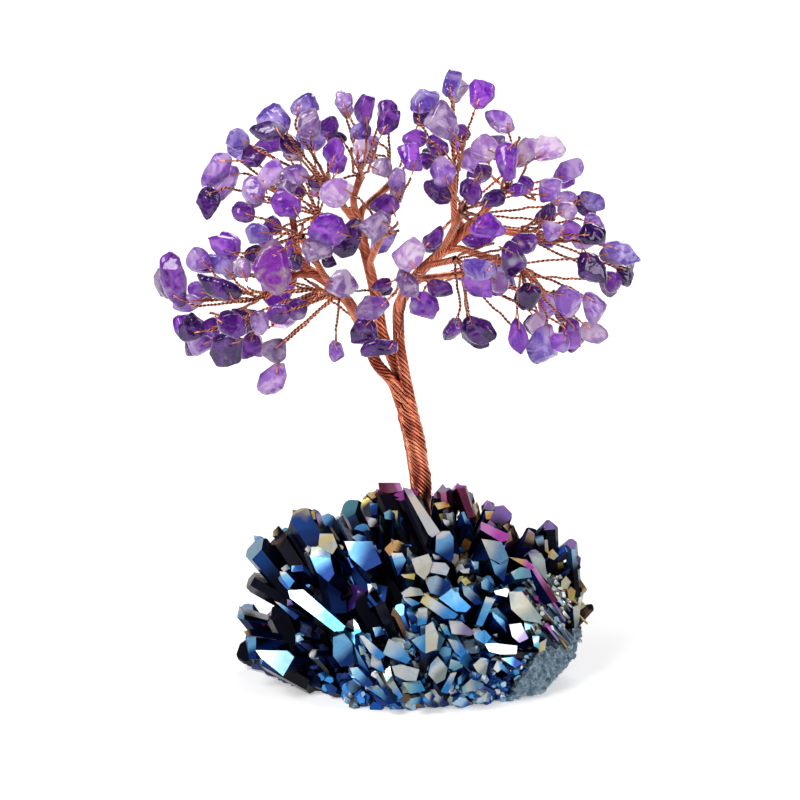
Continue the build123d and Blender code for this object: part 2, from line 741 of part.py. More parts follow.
def samples(points, step):
    out = []
    for a, b in zip(points, points[1:]):
        count = max(1, math.ceil(np.linalg.norm(b - a) / step))
        out += [a + (b - a) * i / count for i in range(count)]
    return out + [points[-1]]


fixed_balls = []
for spray, points in bundle_points.items():
    fixed_balls += [(point, bundle_radius) for point in samples(points, bundle_radius)]
    fixed_balls.append((hubs[spray], knot_radius))
for points in limb_points.values():
    fixed_balls += [(point, limb_radius) for point in samples(points, limb_radius)]
fixed_balls += [(point, trunk_outer_radius) for point in samples(trunk_points, trunk_outer_radius)]
hub_list = list(hubs)
hub_places = np.array([hubs[name] for name in hub_list])


def settle(rounds):
    """Moves chips, mostly in depth, until nothing is in anything's way."""
    worst = {}
    for _ in range(rounds):
        for chip in chips:
            trace(chip)
        spread_stems()
        centres, radii, owners, weights = [], [], [], []
        for index, chip in enumerate(chips):
            for centre, radius in ball_grid(chip):
                centres.append(centre)
                radii.append(radius)
                owners.append(index)
                weights.append(1.0)
            stem = samples(chip["stem"], stem_radius * stem_step_share)
            for place_number, centre in enumerate(stem):
                centres.append(centre)
                radii.append(stem_radius * stem_ball_share)
                owners.append(index)
                weights.append(stem_weight_share + (1 - stem_weight_share) * place_number / len(stem))
        for centre, radius in fixed_balls:
            centres.append(centre)
            radii.append(radius)
            owners.append(-1)
            weights.append(0.0)
        centres, radii = np.array(centres), np.array(radii)
        owners, weights = np.array(owners), np.array(weights)
        order = np.argsort(centres[:, 0])
        centres, radii, owners, weights = centres[order], radii[order], owners[order], weights[order]
        firsts, seconds = [], []
        for low in range(0, len(centres), block_size):
            block = slice(low, low + block_size)
            limit = centres[block, 0].max() + radii.max() * 2 + settle_margin
            high = np.searchsorted(centres[:, 0], limit)
            gaps = ((centres[block, None] - centres[None, low:high]) ** 2).sum(2)
            near = gaps < (radii[block, None] + radii[None, low:high] + settle_margin) ** 2
            near &= owners[block, None] != owners[None, low:high]
            a, b = np.nonzero(near)
            ahead = b > a
            firsts.append(a[ahead] + low)
            seconds.append(b[ahead] + low)
        first, second = np.concatenate(firsts), np.concatenate(seconds)
        to_hubs = np.linalg.norm(centres[:, None, :] - hub_places[None], axis=2)
        at_hub = np.where(to_hubs.min(1) < hub_free_radius, to_hubs.argmin(1), -1)
        home = np.array([hub_list.index(chips[o]["spray"]) if o >= 0 else -2 for o in owners])
        same = (at_hub[first] == at_hub[second]) & (at_hub[first] >= 0)
        same &= ((home[first] == at_hub[first]) | (home[first] == -2))
        same &= ((home[second] == at_hub[second]) | (home[second] == -2))
        first, second = first[~same], second[~same]
        gap = centres[first] - centres[second]
        distance = np.linalg.norm(gap, axis=1) + 1e-6
        deep = radii[first] + radii[second] + settle_margin - distance
        way = gap / distance[:, None]
        moves = np.zeros((len(chips), 3))
        hits = np.zeros(len(chips))
        worst = {}
        for a, b, d, w in zip(first, second, deep, way):
            total = weights[a] + weights[b]
            if total == 0:
                continue
            for mine, sign in ((a, 1), (b, -1)):
                owner = owners[mine]
                if owner >= 0:
                    share = weights[mine] / total
                    moves[owner] += w * sign * d * share
                    hits[owner] += 1
                    worst[owner] = max(worst.get(owner, 0), d)
        for index, chip in enumerate(chips):
            if chip["room"] < stem_bend_least:
                moves[index] += unit(chip["centre"] - hubs[chip["spray"]]) * settle_stall_step
                hits[index] += 1
                worst[index] = max(worst.get(index, 0), settle_stall_clash)
        if not worst or max(worst.values()) < settle_margin * 0.5:
            break
        for index, chip in enumerate(chips):
            if hits[index]:
                step = moves[index] / max(1.0, hits[index] * settle_crowd_share)
                away = step @ screen_away
                side = step - away * screen_away
                step = side * settle_side_share + screen_away * away * settle_depth_share
                step = step + screen_away * rng.uniform(-settle_jitter, settle_jitter)
                size = np.linalg.norm(step)
                step = step * min(1.0, settle_step_limit / max(size, 1e-6)) * settle_rate_share
                shift = chip["centre"] + step - chip["home"]
                away = shift @ screen_away
                side = shift - away * screen_away
                size = np.linalg.norm(side)
                side = side * min(1.0, settle_limit / 3 / max(size, 1e-6))
                away = max(-settle_limit, min(settle_limit * settle_away_share, away))
                chip["centre"] = chip["home"] + side + screen_away * away
    return worst


clashes = settle(settle_rounds)
# A chip that found no free place is left out, deepest clash first.
dropped = []
while clashes and max(clashes.values()) > settle_margin:
    index = max(clashes, key=clashes.get)
    dropped.append(chips[index]["spray"])
    chips.pop(index)
    clashes = settle(settle_last_rounds)
for chip in chips:
    trace(chip)
spread_stems()


def poke(chip, points):
    """Least shift that frees a chip from points on other chips' stems."""
    across = np.cross(chip["face"], chip["run"])
    offsets = points - chip["centre"]
    heights = offsets @ chip["face"]
    flat = np.stack([offsets @ chip["run"], offsets @ across], axis=1)
    corners = np.array(chip["corners"])
    edges = np.roll(corners, -1, axis=0) - corners
    normals = np.stack([edges[:, 1], -edges[:, 0]], axis=1)
    normals = normals / np.linalg.norm(normals, axis=1)[:, None]
    beyond = ((flat[:, None] - corners[None]) * normals[None]).sum(2)
    deep_flat = stem_radius + poke_margin - beyond.max(1)
    deep_height = chip["half_thickness"] + stem_radius + poke_margin - abs(heights)
    deep = np.minimum(deep_flat, deep_height)
    worst = deep.argmax()
    if deep[worst] <= 0:
        return None
    if deep_flat[worst] < deep_height[worst]:
        normal = normals[beyond[worst].argmax()]
        return -(chip["run"] * normal[0] + across * normal[1]) * deep_flat[worst]
    return -chip["face"] * math.copysign(deep_height[worst], heights[worst])


# Stems that still graze a chip push it aside.
for _ in range(poke_rounds):
    stem_points = [np.array(samples(chip["stem"], stem_radius)) for chip in chips]
    pushed = []
    for index, chip in enumerate(chips):
        others = np.concatenate(stem_points[:index] + stem_points[index + 1:])
        near = np.linalg.norm(others - chip["centre"], axis=1) < chip["half_length"] * poke_reach_share
        shift = poke(chip, others[near]) if near.any() else None
        if shift is not None:
            pushed.append((chip["spray"], round(float(np.linalg.norm(shift)), 2)))
            chip["centre"] = chip["centre"] + shift
    if not pushed:
        break
    print("pushed", pushed)
    for chip in chips:
        trace(chip)
    spread_stems()
print("chips", len(chips), "left out", dropped)


def chip_solid(chip):
    """Thin bevelled stone with a drilled hole near its inner end."""
    plane = Plane(origin=tuple(chip["centre"]), x_dir=tuple(chip["run"]), z_dir=tuple(chip["face"]))
    half = chip["half_thickness"]
    shift = chip["half_width"] * chip_cap_shift_share
    with BuildPart() as stone:
        rings = ((-half, chip_cap_share, shift), (0, 1, 0), (half, chip_cap_share, -shift))
        for level, scale, aside in rings:
            with BuildSketch(plane.offset(level)):
                Polygon(*[(x * scale, y * scale + aside) for x, y in chip["corners"]], align=None)
        loft(ruled=True)
        with BuildSketch(plane.offset(-half * 2)):
            with Locations((-chip["hole_shift"], 0)):
                Circle(chip_hole_radius)
        extrude(amount=half * 4, mode=Mode.SUBTRACT)
    return stone.part


def eye_solid(chip):
    """Wire that goes through the hole and comes back to the stem."""
    face, pull, hole, tip = chip["face"], chip["pull"], chip["hole"], chip["tip"]
    out = chip["half_thickness"] + wire_radius + eye_clearance
    shoulder = chip["edge"] * chip_cap_share
    points = [
        tip + face * leg_spread,
        hole + pull * shoulder + face * out,
        hole + face * out,
        hole - face * out,
        hole + pull * shoulder - face * out,
        tip - face * leg_spread,
    ]
    return rod(points, wire_radius, eye_bend)


for spray in spray_pixels:
    members = [chip for chip in chips if chip["spray"] == spray]
    stones = [chip_solid(chip) for chip in members if not chip["swings"]]
    wires = [bundle_parts[spray]]
    for chip in members:
        wires.append(rod(chip["stem"], stem_radius, chip["room"]))
        wires.append(eye_solid(chip))
        if chip["swings"]:
            save(chip_solid(chip), chip["name"])
            spot = [round(float(value) / 1000, 6) for value in chip["hole"]]
            axis = [round(float(value), 5) for value in chip["face"]]
            print("swing", chip["name"], spot, axis)
    save(Compound(children=[Solid(w.solids()[0].wrapped) for w in wires]), f"{spray}_wires")
    save(Compound(children=[Solid(s.solids()[0].wrapped) for s in stones]), f"{spray}_chips")


# Cluster: rock with crystals growing out of one core.
core = np.array([0, 0, core_rise])


def crystal(tip, radius, turn, root=None):
    """Six-sided column with a pyramid whose point leans to one side."""
    if root is None:
        root = core + (tip - core) * crystal_root_share
    if root[2] < radius:
        root[2] = radius
    way = unit(tip - root)
    length = np.linalg.norm(tip - root)
    plane = Plane(origin=tuple(root), z_dir=tuple(way))
    rings = (
        (0, radius * crystal_root_width_share, 0),
        (length * (1 - crystal_cap_share), radius, 0),
        (length, radius * crystal_tip_width_share, radius * crystal_tip_lean_share),
    )
    with BuildPart() as column:
        for level, size, lean in rings:
            with BuildSketch(plane.offset(level)):
                corners = []
                for side in range(6):
                    angle = math.radians(turn + 60 * side)
                    x = size * math.cos(angle) + lean * math.cos(math.radians(turn))
                    y = size * math.sin(angle) + lean * math.sin(math.radians(turn))
                    corners.append((x, y))
                Polygon(*corners, align=None)
        loft(ruled=True)
    return column.part


columns = []
for column, row, depth, radius in crystal_pixels:
    columns.append(crystal(place(column, row, depth), radius, rng.uniform(0, 60)))
for tip, root, radius in leaning_pixels:
    columns.append(crystal(place(*tip), radius, rng.uniform(0, 60), place(*root)))
for turn, rise, radius in back_crystals:
    flat = math.cos(math.radians(rise))
    reach = rng.uniform(*back_reach_shares)
    tip = core + reach * np.array([
        back_crystal_wide * flat * math.cos(math.radians(turn)),
        back_crystal_deep * flat * math.sin(math.radians(turn)),
        back_crystal_high * math.sin(math.radians(rise)),
    ])
    columns.append(crystal(tip, radius, rng.uniform(0, 60)))

with BuildPart() as rock:
    rock_rings = (
        (0, rock_foot_share),
        (rock_edge_rise, 1),
        (rock_shoulder_rise, rock_shoulder_share),
        (rock_top_rise, rock_top_share),
    )
    for level, scale in rock_rings:
        with BuildSketch(Plane.XY.offset(level)):
            corners = []
            for corner in range(rock_corners):
                angle = 2 * math.pi * corner / rock_corners
                x = rock_half_width * scale * math.cos(angle)
                y = rock_half_depth * scale * math.sin(angle) - rock_forward
                corners.append((x, y))
            Polygon(*corners, align=None)
    loft(ruled=True)

# Broken face of the rock at the lower right, and the block of rock behind it.
face_corners = np.array([place(*pixel) for pixel in face_pixels])
face_middle = face_corners.mean(0)
face_normal = np.linalg.svd(face_corners - face_middle)[2][2]
if face_normal[1] > 0:
    face_normal = -face_normal
face_plane = Plane(origin=tuple(face_middle), x_dir=(1, 0, 0), z_dir=tuple(face_normal))
with BuildPart() as broken_rock:
    for level, scale in ((0, 1), (-face_thickness, face_back_share)):
        with BuildSketch(face_plane.offset(level)):
            corners = []
            for corner in face_corners:
                flat = face_plane.to_local_coords(Vector(*corner))
                corners.append((flat.X * scale, flat.Y * scale))
            Polygon(*corners, align=None)
    loft(ruled=True)

socket_floor = trunk_foot[2] - root_depth
with BuildPart() as quartz_cluster:
    add(rock.part)
    add(broken_rock.part)
    add(columns, clean=False)
    with BuildSketch(Plane.XY):
        Rectangle(rock_half_width * 4, rock_half_width * 4)
    extrude(amount=-rock_half_width * 2, mode=Mode.SUBTRACT)
    with BuildSketch(Plane.XY.offset(socket_floor)):
        with Locations((trunk_foot[0], trunk_foot[1])):
            Circle(socket_radius)
    extrude(amount=trunk_room_top, mode=Mode.SUBTRACT)
    with BuildSketch(Plane.XY.offset(rock_top_rise)):
        with Locations((trunk_foot[0], trunk_foot[1])):
            Circle(trunk_room_radius)
    extrude(amount=trunk_room_top, mode=Mode.SUBTRACT)
cluster_solids = quartz_cluster.part.solids()
print("cluster solids", len(cluster_solids), [round(s.volume) for s in cluster_solids])
save(Solid(biggest(quartz_cluster.part).wrapped), "quartz_cluster")

with BuildPart() as epoxy_plug:
    with BuildSketch(Plane.XY.offset(socket_floor + touch_gap)):
        with Locations((trunk_foot[0], trunk_foot[1])):
            Circle(socket_radius - touch_gap)
            Circle(root_radius + touch_gap, mode=Mode.SUBTRACT)
    extrude(amount=root_depth - trunk_step)
save(epoxy_plug.part, "epoxy_plug")
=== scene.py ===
import json
import math

import bmesh
import bpy
import numpy as np
from mathutils import Matrix, Vector, noise
from mathutils.bvhtree import BVHTree
from mathutils.kdtree import KDTree

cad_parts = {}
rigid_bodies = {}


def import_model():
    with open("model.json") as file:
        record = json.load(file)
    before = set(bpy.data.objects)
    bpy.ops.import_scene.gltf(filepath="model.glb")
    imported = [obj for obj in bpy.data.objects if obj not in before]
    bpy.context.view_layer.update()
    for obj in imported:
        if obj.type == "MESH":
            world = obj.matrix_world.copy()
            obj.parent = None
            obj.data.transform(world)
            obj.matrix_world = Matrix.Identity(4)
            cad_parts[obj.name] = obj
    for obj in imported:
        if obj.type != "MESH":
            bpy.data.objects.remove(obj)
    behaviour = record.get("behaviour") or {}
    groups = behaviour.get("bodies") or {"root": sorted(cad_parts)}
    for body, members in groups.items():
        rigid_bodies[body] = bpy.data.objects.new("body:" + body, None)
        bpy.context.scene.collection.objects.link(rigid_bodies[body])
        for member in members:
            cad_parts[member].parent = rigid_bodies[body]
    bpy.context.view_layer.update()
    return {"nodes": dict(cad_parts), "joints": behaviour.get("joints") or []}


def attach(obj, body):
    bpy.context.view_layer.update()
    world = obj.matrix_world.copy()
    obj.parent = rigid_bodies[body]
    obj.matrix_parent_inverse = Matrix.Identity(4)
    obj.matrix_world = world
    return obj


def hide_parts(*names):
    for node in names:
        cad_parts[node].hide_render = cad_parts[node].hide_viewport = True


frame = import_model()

rng = np.random.default_rng(7)
MM = 0.001

# Photograph frame: places are pixel columns and rows, with a depth in mm.
mm_per_pixel = 0.26
axis_column = 411
ground_row = 673
camera_rise = math.radians(15)
sin_rise = math.sin(camera_rise)
cos_rise = math.cos(camera_rise)
view_way = np.array([0.0, -cos_rise, sin_rise])


def place(column, row, depth):
    """Point of the object that is seen at a pixel, at a depth along Y, in mm."""
    rise = ((ground_row - row) * mm_per_pixel - depth * sin_rise) / cos_rise
    return np.array([(column - axis_column) * mm_per_pixel, depth, rise])


def pixel_of(point):
    """Pixel column and row at which a point in mm is seen."""
    return np.array([
        point[0] / mm_per_pixel + axis_column,
        ground_row - (point[2] * cos_rise + point[1] * sin_rise) / mm_per_pixel,
    ])


def unit(vector):
    return vector / (np.linalg.norm(vector) + 1e-12)


def across(vector, way):
    """Unit vector of the part of a vector that is square to a way."""
    return unit(vector - (vector @ way) * way)


def heading(turn, rise):
    """Unit vector at a turn about Z and a rise above level, in radians."""
    flat = math.cos(rise)
    return np.array([flat * math.cos(turn), flat * math.sin(turn), math.sin(rise)])


def entries(table):
    """Letters and numbers of each entry of a table; semicolons part the entries."""
    for entry in table.split(";"):
        letters, *numbers = entry.split()
        yield letters, [float(number) for number in numbers]


# Meshes

def shown(name, data):
    """Object that puts a mesh, a lamp or a camera into the scene."""
    obj = bpy.data.objects.new(name, data)
    bpy.context.scene.collection.objects.link(obj)
    return obj


def soften(mesh):
    mesh.polygons.foreach_set("use_smooth", [True] * len(mesh.polygons))


def new_mesh(name, vertices, faces, smooth=True):
    mesh = bpy.data.meshes.new(name)
    mesh.from_pydata([tuple(v) for v in vertices], [], [tuple(f) for f in faces])
    mesh.update()
    if smooth:
        soften(mesh)
    return shown(name, mesh)


def read(items, label, width=3, kind=float):
    """Values of a mesh's vertices or edges, a row for each."""
    values = np.zeros(len(items) * width, kind)
    items.foreach_get(label, values)
    return values.reshape(-1, width)


def store(mesh, label, values, kind="FLOAT", domain="POINT"):
    """Values on a mesh that its material reads."""
    field = {"FLOAT": "value", "FLOAT_COLOR": "color", "FLOAT_VECTOR": "vector"}[kind]
    attribute = mesh.attributes.new(label, kind, domain)
    attribute.data.foreach_set(field, np.array(values, np.float32).ravel())


def joined(shells):
    """One list of vertices and one of faces from several shells."""
    faces, base = [], 0
    for vertices, shell_faces in shells:
        faces += [[v + base for v in face] for face in shell_faces]
        base += len(vertices)
    return np.concatenate([vertices for vertices, _ in shells]), faces


def remeshed(name, vertices, faces, voxel, relax_rounds=0):
    """Mesh made again on voxels of a size in mm, with its places in mm and its normals."""
    rough = new_mesh(name + "_rough", vertices, faces)
    modifier = rough.modifiers.new("voxels", "REMESH")
    modifier.mode = "VOXEL"
    modifier.voxel_size = voxel * MM
    if relax_rounds:
        relax = rough.modifiers.new("relax", "SMOOTH")
        relax.factor = 0.5
        relax.iterations = relax_rounds
    bpy.context.view_layer.update()
    graph = bpy.context.evaluated_depsgraph_get()
    mesh = bpy.data.meshes.new_from_object(rough.evaluated_get(graph))
    bpy.data.objects.remove(rough)
    return mesh, read(mesh.vertices, "co") / MM, read(mesh.vertices, "normal")


def groups_of(count, chains):
    """Number of the connected group of each vertex; chains are rows of joined vertices."""
    parent = list(range(count))

    def find(a):
        while parent[a] != a:
            parent[a] = parent[parent[a]]
            a = parent[a]
        return a

    for first, *others in chains:
        for other in others:
            a, b = find(first), find(other)
            if a != b:
                parent[a] = b
    return [find(a) for a in range(count)]


def islands(node):
    """Separate shells of a CAD node: vertices in metres and faces of each."""
    mesh = frame["nodes"][node].data
    rounded = np.round(read(mesh.vertices, "co"), 7)
    keys, inverse = np.unique(rounded, axis=0, return_inverse=True)
    inverse = inverse.ravel()
    faces = [[int(inverse[v]) for v in polygon.vertices] for polygon in mesh.polygons]
    group_of = groups_of(len(keys), faces)
    groups = {}
    for face in faces:
        groups.setdefault(group_of[face[0]], []).append(face)
    shells = []
    for group in groups.values():
        used = sorted({v for face in group for v in face})
        index = {v: i for i, v in enumerate(used)}
        kept = [[index[v] for v in face] for face in group if len(set(face)) > 2]
        shells.append((keys[used], kept))
    return shells


def volume_of(vertices, faces):
    total = 0.0
    for face in faces:
        a = vertices[face[0]]
        for b, c in zip(face[1:], face[2:]):
            total += np.dot(a, np.cross(vertices[b], vertices[c]))
    return abs(total) / 6


def resample(points, step):
    """Points of a polyline at an even step."""
    points = np.array(points)
    lengths = np.linalg.norm(np.diff(points, axis=0), axis=1)
    marks = np.concatenate([[0], np.cumsum(lengths)])
    count = max(2, int(math.ceil(marks[-1] / step)) + 1)
    at = np.linspace(0, marks[-1], count)
    return np.stack([np.interp(at, marks, points[:, k]) for k in range(3)], axis=1)


def smoothed(points, rounds):
    points = np.array(points)
    for _ in range(rounds):
        points[1:-1] = points[1:-1] * 0.5 + (points[:-2] + points[2:]) * 0.25
    return points


def frames(points):
    """Two normals at each point of a line, carried along without twist."""
    tangents = np.gradient(points, axis=0)
    tangents /= np.linalg.norm(tangents, axis=1)[:, None] + 1e-12
    firsts = [unit(np.cross(tangents[0], (0.31, 0.42, 0.85)))]
    for tangent in tangents[1:]:
        firsts.append(across(firsts[-1], tangent))
    firsts = np.array(firsts)
    return firsts, np.cross(tangents, firsts)


class Tubes:
    """Collects wires into one mesh, with a painted shade value where wires face each other."""

    def __init__(self):
        self.vertices, self.faces, self.count = [], [], 0
        self.tones, self.painted_crease_shades = [], []

    def add(self, points, radius, sides, tone, centre=None, painted_crease_shade=0.0, depth=1.0):
        """points in mm; radius is one or one per point; the wire winds round centre. Its painted
        shade is one given value without centre, else darkest on the side that faces centre, scaled
        by depth.
        """
        first, second = frames(points)
        angles = np.arange(sides) * 2 * math.pi / sides
        radius = np.broadcast_to(np.asarray(radius, float), (len(points),))
        ways = first[:, None] * np.cos(angles)[None, :, None]
        ways = ways + second[:, None] * np.sin(angles)[None, :, None]
        ring = points[:, None] + ways * radius[:, None, None]
        self.vertices.append(ring.reshape(-1, 3) * MM)
        base, rows = self.count, len(points)
        for i in range(rows - 1):
            for j in range(sides):
                a = base + i * sides + j
                b = base + i * sides + (j + 1) % sides
                self.faces.append((a, b, b + sides, a + sides))
        last = base + (rows - 1) * sides
        self.faces.append(tuple(base + j for j in reversed(range(sides))))
        self.faces.append(tuple(last + j for j in range(sides)))
        self.tones.append(np.full(rows * sides, tone))
        # Painted shade: 0 on the side of the wire that faces away from centre, up to 1 on the side
        # that faces it, where the strands lie against each other.
        if centre is None:
            self.painted_crease_shades.append(np.full(rows * sides, painted_crease_shade))
        else:
            outward = points - centre
            outward /= np.linalg.norm(outward, axis=1)[:, None] + 1e-9
            facing = (ways * outward[:, None]).sum(2)
            self.painted_crease_shades.append((0.5 - 0.5 * facing).ravel() * depth)
        self.count += rows * sides

    def build(self, name):
        obj = new_mesh(name, np.concatenate(self.vertices), self.faces)
        store(obj.data, "tone", np.concatenate(self.tones))
        store(obj.data, "painted_crease_shade", np.concatenate(self.painted_crease_shades))
        return obj


def twisted(line, offset, pitch, strands, phase, squash=None):
    """Helical lines round a centre line, in mm. offset may vary along it."""
    first, second = frames(line)
    steps = np.linalg.norm(np.diff(line, axis=0), axis=1)
    steps = np.concatenate([[0], np.cumsum(steps)])
    offset = np.broadcast_to(np.asarray(offset, float), (len(line),))
    out = []
    for strand in range(strands):
        angle = phase + 2 * math.pi * strand / strands + 2 * math.pi * steps / pitch
        reach = offset if squash is None else offset * squash(angle, steps)
        way = first * np.cos(angle)[:, None] + second * np.sin(angle)[:, None]
        out.append(line + way * reach[:, None])
    return out


def marched(vertices, faces, start, way, radius):
    """Centre line of a round tube in mm, walked from one end to the other."""
    step, most_steps, rays = 0.45, 400, 8
    tree = BVHTree.FromPolygons([Vector(v) for v in vertices], faces)
    line = [np.array(start)]
    way = unit(np.array(way))
    spot = line[0] + way * 0.05
    for _ in range(most_steps):
        hit = tree.ray_cast(Vector(spot), Vector(way))[3]
        if hit is None:
            break
        if hit < step * 1.05:
            line.append(spot + way * hit)
            break
        side = unit(np.cross(way, (0.37, 0.21, 0.9)))
        other = np.cross(way, side)
        ahead = spot + way * min(step, hit * 0.5)
        total, count = np.zeros(3), 0
        for k in range(rays):
            angle = k * 2 * math.pi / rays
            ray = side * math.cos(angle) + other * math.sin(angle)
            wall = tree.ray_cast(Vector(ahead), Vector(ray), radius * 3)[3]
            if wall is not None:
                total += ray * (wall - radius)
                count += 1
        new = ahead + total / max(count, 1)
        way = unit(0.35 * way + 0.65 * unit(new - spot))
        spot = new
        line.append(spot)
    return np.array(line)


# Places

trunk_pixels = [(421, 522), (421, 480), (417, 455), (411, 425), (407, 405), (401, 384)]
limb_pixels = {
    "limb_left": [
        (376, 364, -2.0), (366, 335, -3.0), (350, 303, -3.0), (328, 283, -3.0), (304, 268, -2.0),
    ],
    "limb_middle": [
        (382, 334, 2.5), (377, 300, 3.5), (368, 262, 3.5), (359, 226, 3.0), (353, 208, 3.0),
    ],
    "limb_right": [
        (399, 345, 0.5), (398, 306, 0.0), (418, 274, 0.0), (446, 249, 1.0), (474, 222, 1.0),
    ],
}
# Each spray: its limb, the share of the limb at which it leaves, and its hub.
spray_pixels = {
    "left_outer": ("limb_left", 0.90, 262, 300, -9.0),
    "left_low": ("limb_left", 0.66, 257, 322, -3.0),
    "left_hanging": ("limb_left", 0.34, 342, 292, -15.0),
    "left_inner": ("limb_left", 0.74, 302, 238, -15.0),
    "left_upper": ("limb_left", 0.95, 292, 204, -7.0),
    "crown_left": ("limb_middle", 0.82, 328, 188, -13.0),
    "crown_top": ("limb_middle", 0.96, 362, 178, -4.0),
    "crown_centre": ("limb_middle", 0.60, 384, 235, -18.0),
    "right_top": ("limb_right", 0.80, 452, 176, -6.0),
    "right_upper": ("limb_right", 0.97, 506, 192, -9.0),
    "right_centre": ("limb_right", 0.70, 462, 214, -17.0),
    "right_outer": ("limb_right", 0.90, 522, 236, -3.0),
    "right_low": ("limb_right", 0.76, 520, 270, -5.0),
    "right_inner": ("limb_right", 0.58, 456, 262, -15.0),
    "centre_low": ("limb_right", 0.36, 408, 278, -15.0),
    "back_left": ("limb_left", 0.56, 318, 290, 17.0),
    "back_upper": ("limb_middle", 0.72, 318, 214, 18.0),
    "back_top": ("limb_middle", 0.88, 392, 182, 19.0),
    "back_right": ("limb_right", 0.85, 456, 214, 19.0),
    "back_low": ("limb_right", 0.50, 462, 272, 18.0),
}
limb_radius = 1.6
limb_ring = 1.9
bundle_lead = 5.0
knot_radius = 1.9
stem_radius = 0.40


def along(points, share):
    """Point at a share of a polyline's length, and the way there."""
    lengths = [np.linalg.norm(b - a) for a, b in zip(points, points[1:])]
    left = share * sum(lengths)
    for a, b, length in zip(points, points[1:], lengths):
        if left <= length:
            return a + (b - a) * left / length, unit(b - a)
        left -= length
    return points[-1], unit(points[-1] - points[-2])


trunk_points = [place(c, r, 0) for c, r in trunk_pixels]
trunk_head, trunk_way = along(trunk_points, 1.0)
limb_points = {name: [place(*p) for p in pixels] for name, pixels in limb_pixels.items()}
aside = across(limb_points["limb_left"][0] - trunk_head, trunk_way)
ring_start = math.atan2(aside[1], aside[0])
limb_side = {}
for index, name in enumerate(limb_pixels):
    angle = ring_start - 2 * math.pi * index / 3
    side = across(heading(angle, 0), trunk_way)
    start = trunk_head + side * limb_ring
    limb_side[name] = side
    limb_points[name] = [start, start + trunk_way * limb_radius] + limb_points[name]
hubs = {name: place(*row[2:]) for name, row in spray_pixels.items()}
bundle_points = {}
for name, (limb, share, *_) in spray_pixels.items():
    start, way = along(limb_points[limb], share)
    ahead = hubs[name] - start
    lead = min(bundle_lead, np.linalg.norm(ahead) / 3)
    bundle_points[name] = [start, start + unit(way + unit(ahead)) * lead, hubs[name]]


# Copper

def bend_in(start, hub, toward, reach):
    """Curve from a stem's foot through the knot into its bundle."""
    side = unit(start - hub)
    end = hub + unit(toward - hub) * reach + side * 0.35
    bend = hub + side * 0.15
    return [
        (1 - t) ** 2 * start + 2 * t * (1 - t) * bend + t * t * end
        for t in np.linspace(1, 0, 8)[:-1]
    ]


# Sizes in mm and mm3: the most that a wire eye and a stem hold, and the wires' radii.
eye_volume, stem_volume = 2.0, 24.0
stem_offset, stem_strand, stem_step = 0.20, 0.195, 0.26
bundle_strand, bundle_core, bundle_step = 0.27, 0.45, 0.4
limb_strand, run_on_strand, limb_core = 0.42, 0.44, 0.95
trunk_core, trunk_step = 2.30, 0.5
# The core wire in each bundle, limb and trunk is painted fully in shade: a near black tube that
# fills the gaps between the strands.
core_tone, core_painted_shade = 0.0, 1.0
wander_most = 0.16
wire_eyes = []
for spray, hub in hubs.items():
    tubes = Tubes()
    stems = 0
    eyes = []
    for vertices, faces in islands(f"{spray}_wires"):
        vertices = vertices / MM
        volume = volume_of(vertices - vertices.mean(0), faces)
        distance = np.linalg.norm(vertices - hub, axis=1)
        if volume < eye_volume:
            eyes.append((vertices, faces))
            wire_eyes.append(vertices)
        elif volume < stem_volume and distance.min() > knot_radius:
            start = vertices[distance < distance.min() + 0.03].mean(0)
            line = marched(vertices, faces, start, start - hub, stem_radius)
            line = np.concatenate([bend_in(start, hub, bundle_points[spray][1], 3.4), line])
            line = smoothed(resample(line, stem_step), 3)
            wander = rng.normal(0, 1, (len(line), 3))
            wander = smoothed(smoothed(wander, 12), 12) * 0.35
            steps = np.arange(len(line))
            fade = np.minimum(1, np.minimum(steps, steps[::-1]) / 12)
            line = line + np.clip(wander, -wander_most, wander_most) * fade[:, None]
            pitch = -rng.uniform(2.0, 2.6)
            shade = rng.uniform(0.7, 1.0)
            for strand in twisted(line, stem_offset, pitch, 2, rng.uniform(0, 6)):
                tubes.add(strand, stem_strand, 6, shade, line, depth=0.8)
            stems += 1
    line = smoothed(resample(bundle_points[spray], bundle_step), 10)
    line = line[np.linalg.norm(line - hub, axis=1) > 0.4]
    to_hub = np.linalg.norm(line - hub, axis=1)
    count = max(6, min(9, stems))
    offset = 0.66 + 0.42 * np.exp(-to_hub / 2.2)
    for strand in twisted(line, offset, -rng.uniform(7, 9), count, rng.uniform(0, 6)):
        tubes.add(strand, bundle_strand, 7, rng.uniform(0.4, 1), line, depth=0.75)
    tubes.add(line[:-3], bundle_core, 7, core_tone, painted_crease_shade=core_painted_shade)
    wires = tubes.build(f"{spray}_copper")
    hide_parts(f"{spray}_wires")
    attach(wires, "tree")
    if eyes:
        vertices, faces = joined(eyes)
        eye = new_mesh(f"{spray}_eyes", vertices * MM, faces)
        store(eye.data, "tone", np.full(len(vertices), 0.7))
        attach(eye, "tree")


def three_lobes(angle, steps):
    lobe_pitch, lobe_height = 38, 0.08
    return 1 + lobe_height * np.cos(3 * (angle + 2 * math.pi * steps / lobe_pitch))


# The trunk's wires run on into the limbs, so each is one line from the foot up.
trunk_strands = 15
trunk_offset, trunk_pitch = 2.56, -17.0
limb_pitch, limb_strands = -11.0, 8
below_head, above_head = 9, 26
trunk_line = [trunk_points[0] - trunk_way * 4] + trunk_points
trunk_line = smoothed(resample(trunk_line, trunk_step), 20)
trunk_wires = twisted(trunk_line, trunk_offset, trunk_pitch, trunk_strands, 0.0, three_lobes)
for strand in trunk_wires:
    wander = smoothed(rng.normal(0, 0.6, (len(strand), 1)), 10)
    outward = strand - trunk_line
    outward /= np.linalg.norm(outward, axis=1)[:, None]
    strand += outward * np.clip(wander, -0.14, 0.12)
shares = {name: [] for name in limb_pixels}
for index in range(trunk_strands):
    side = trunk_wires[index][-1] - trunk_line[-1]
    for name in sorted(shares, key=lambda name: -(limb_side[name] @ side)):
        if len(shares[name]) < trunk_strands // 3:
            shares[name].append(index)
            break
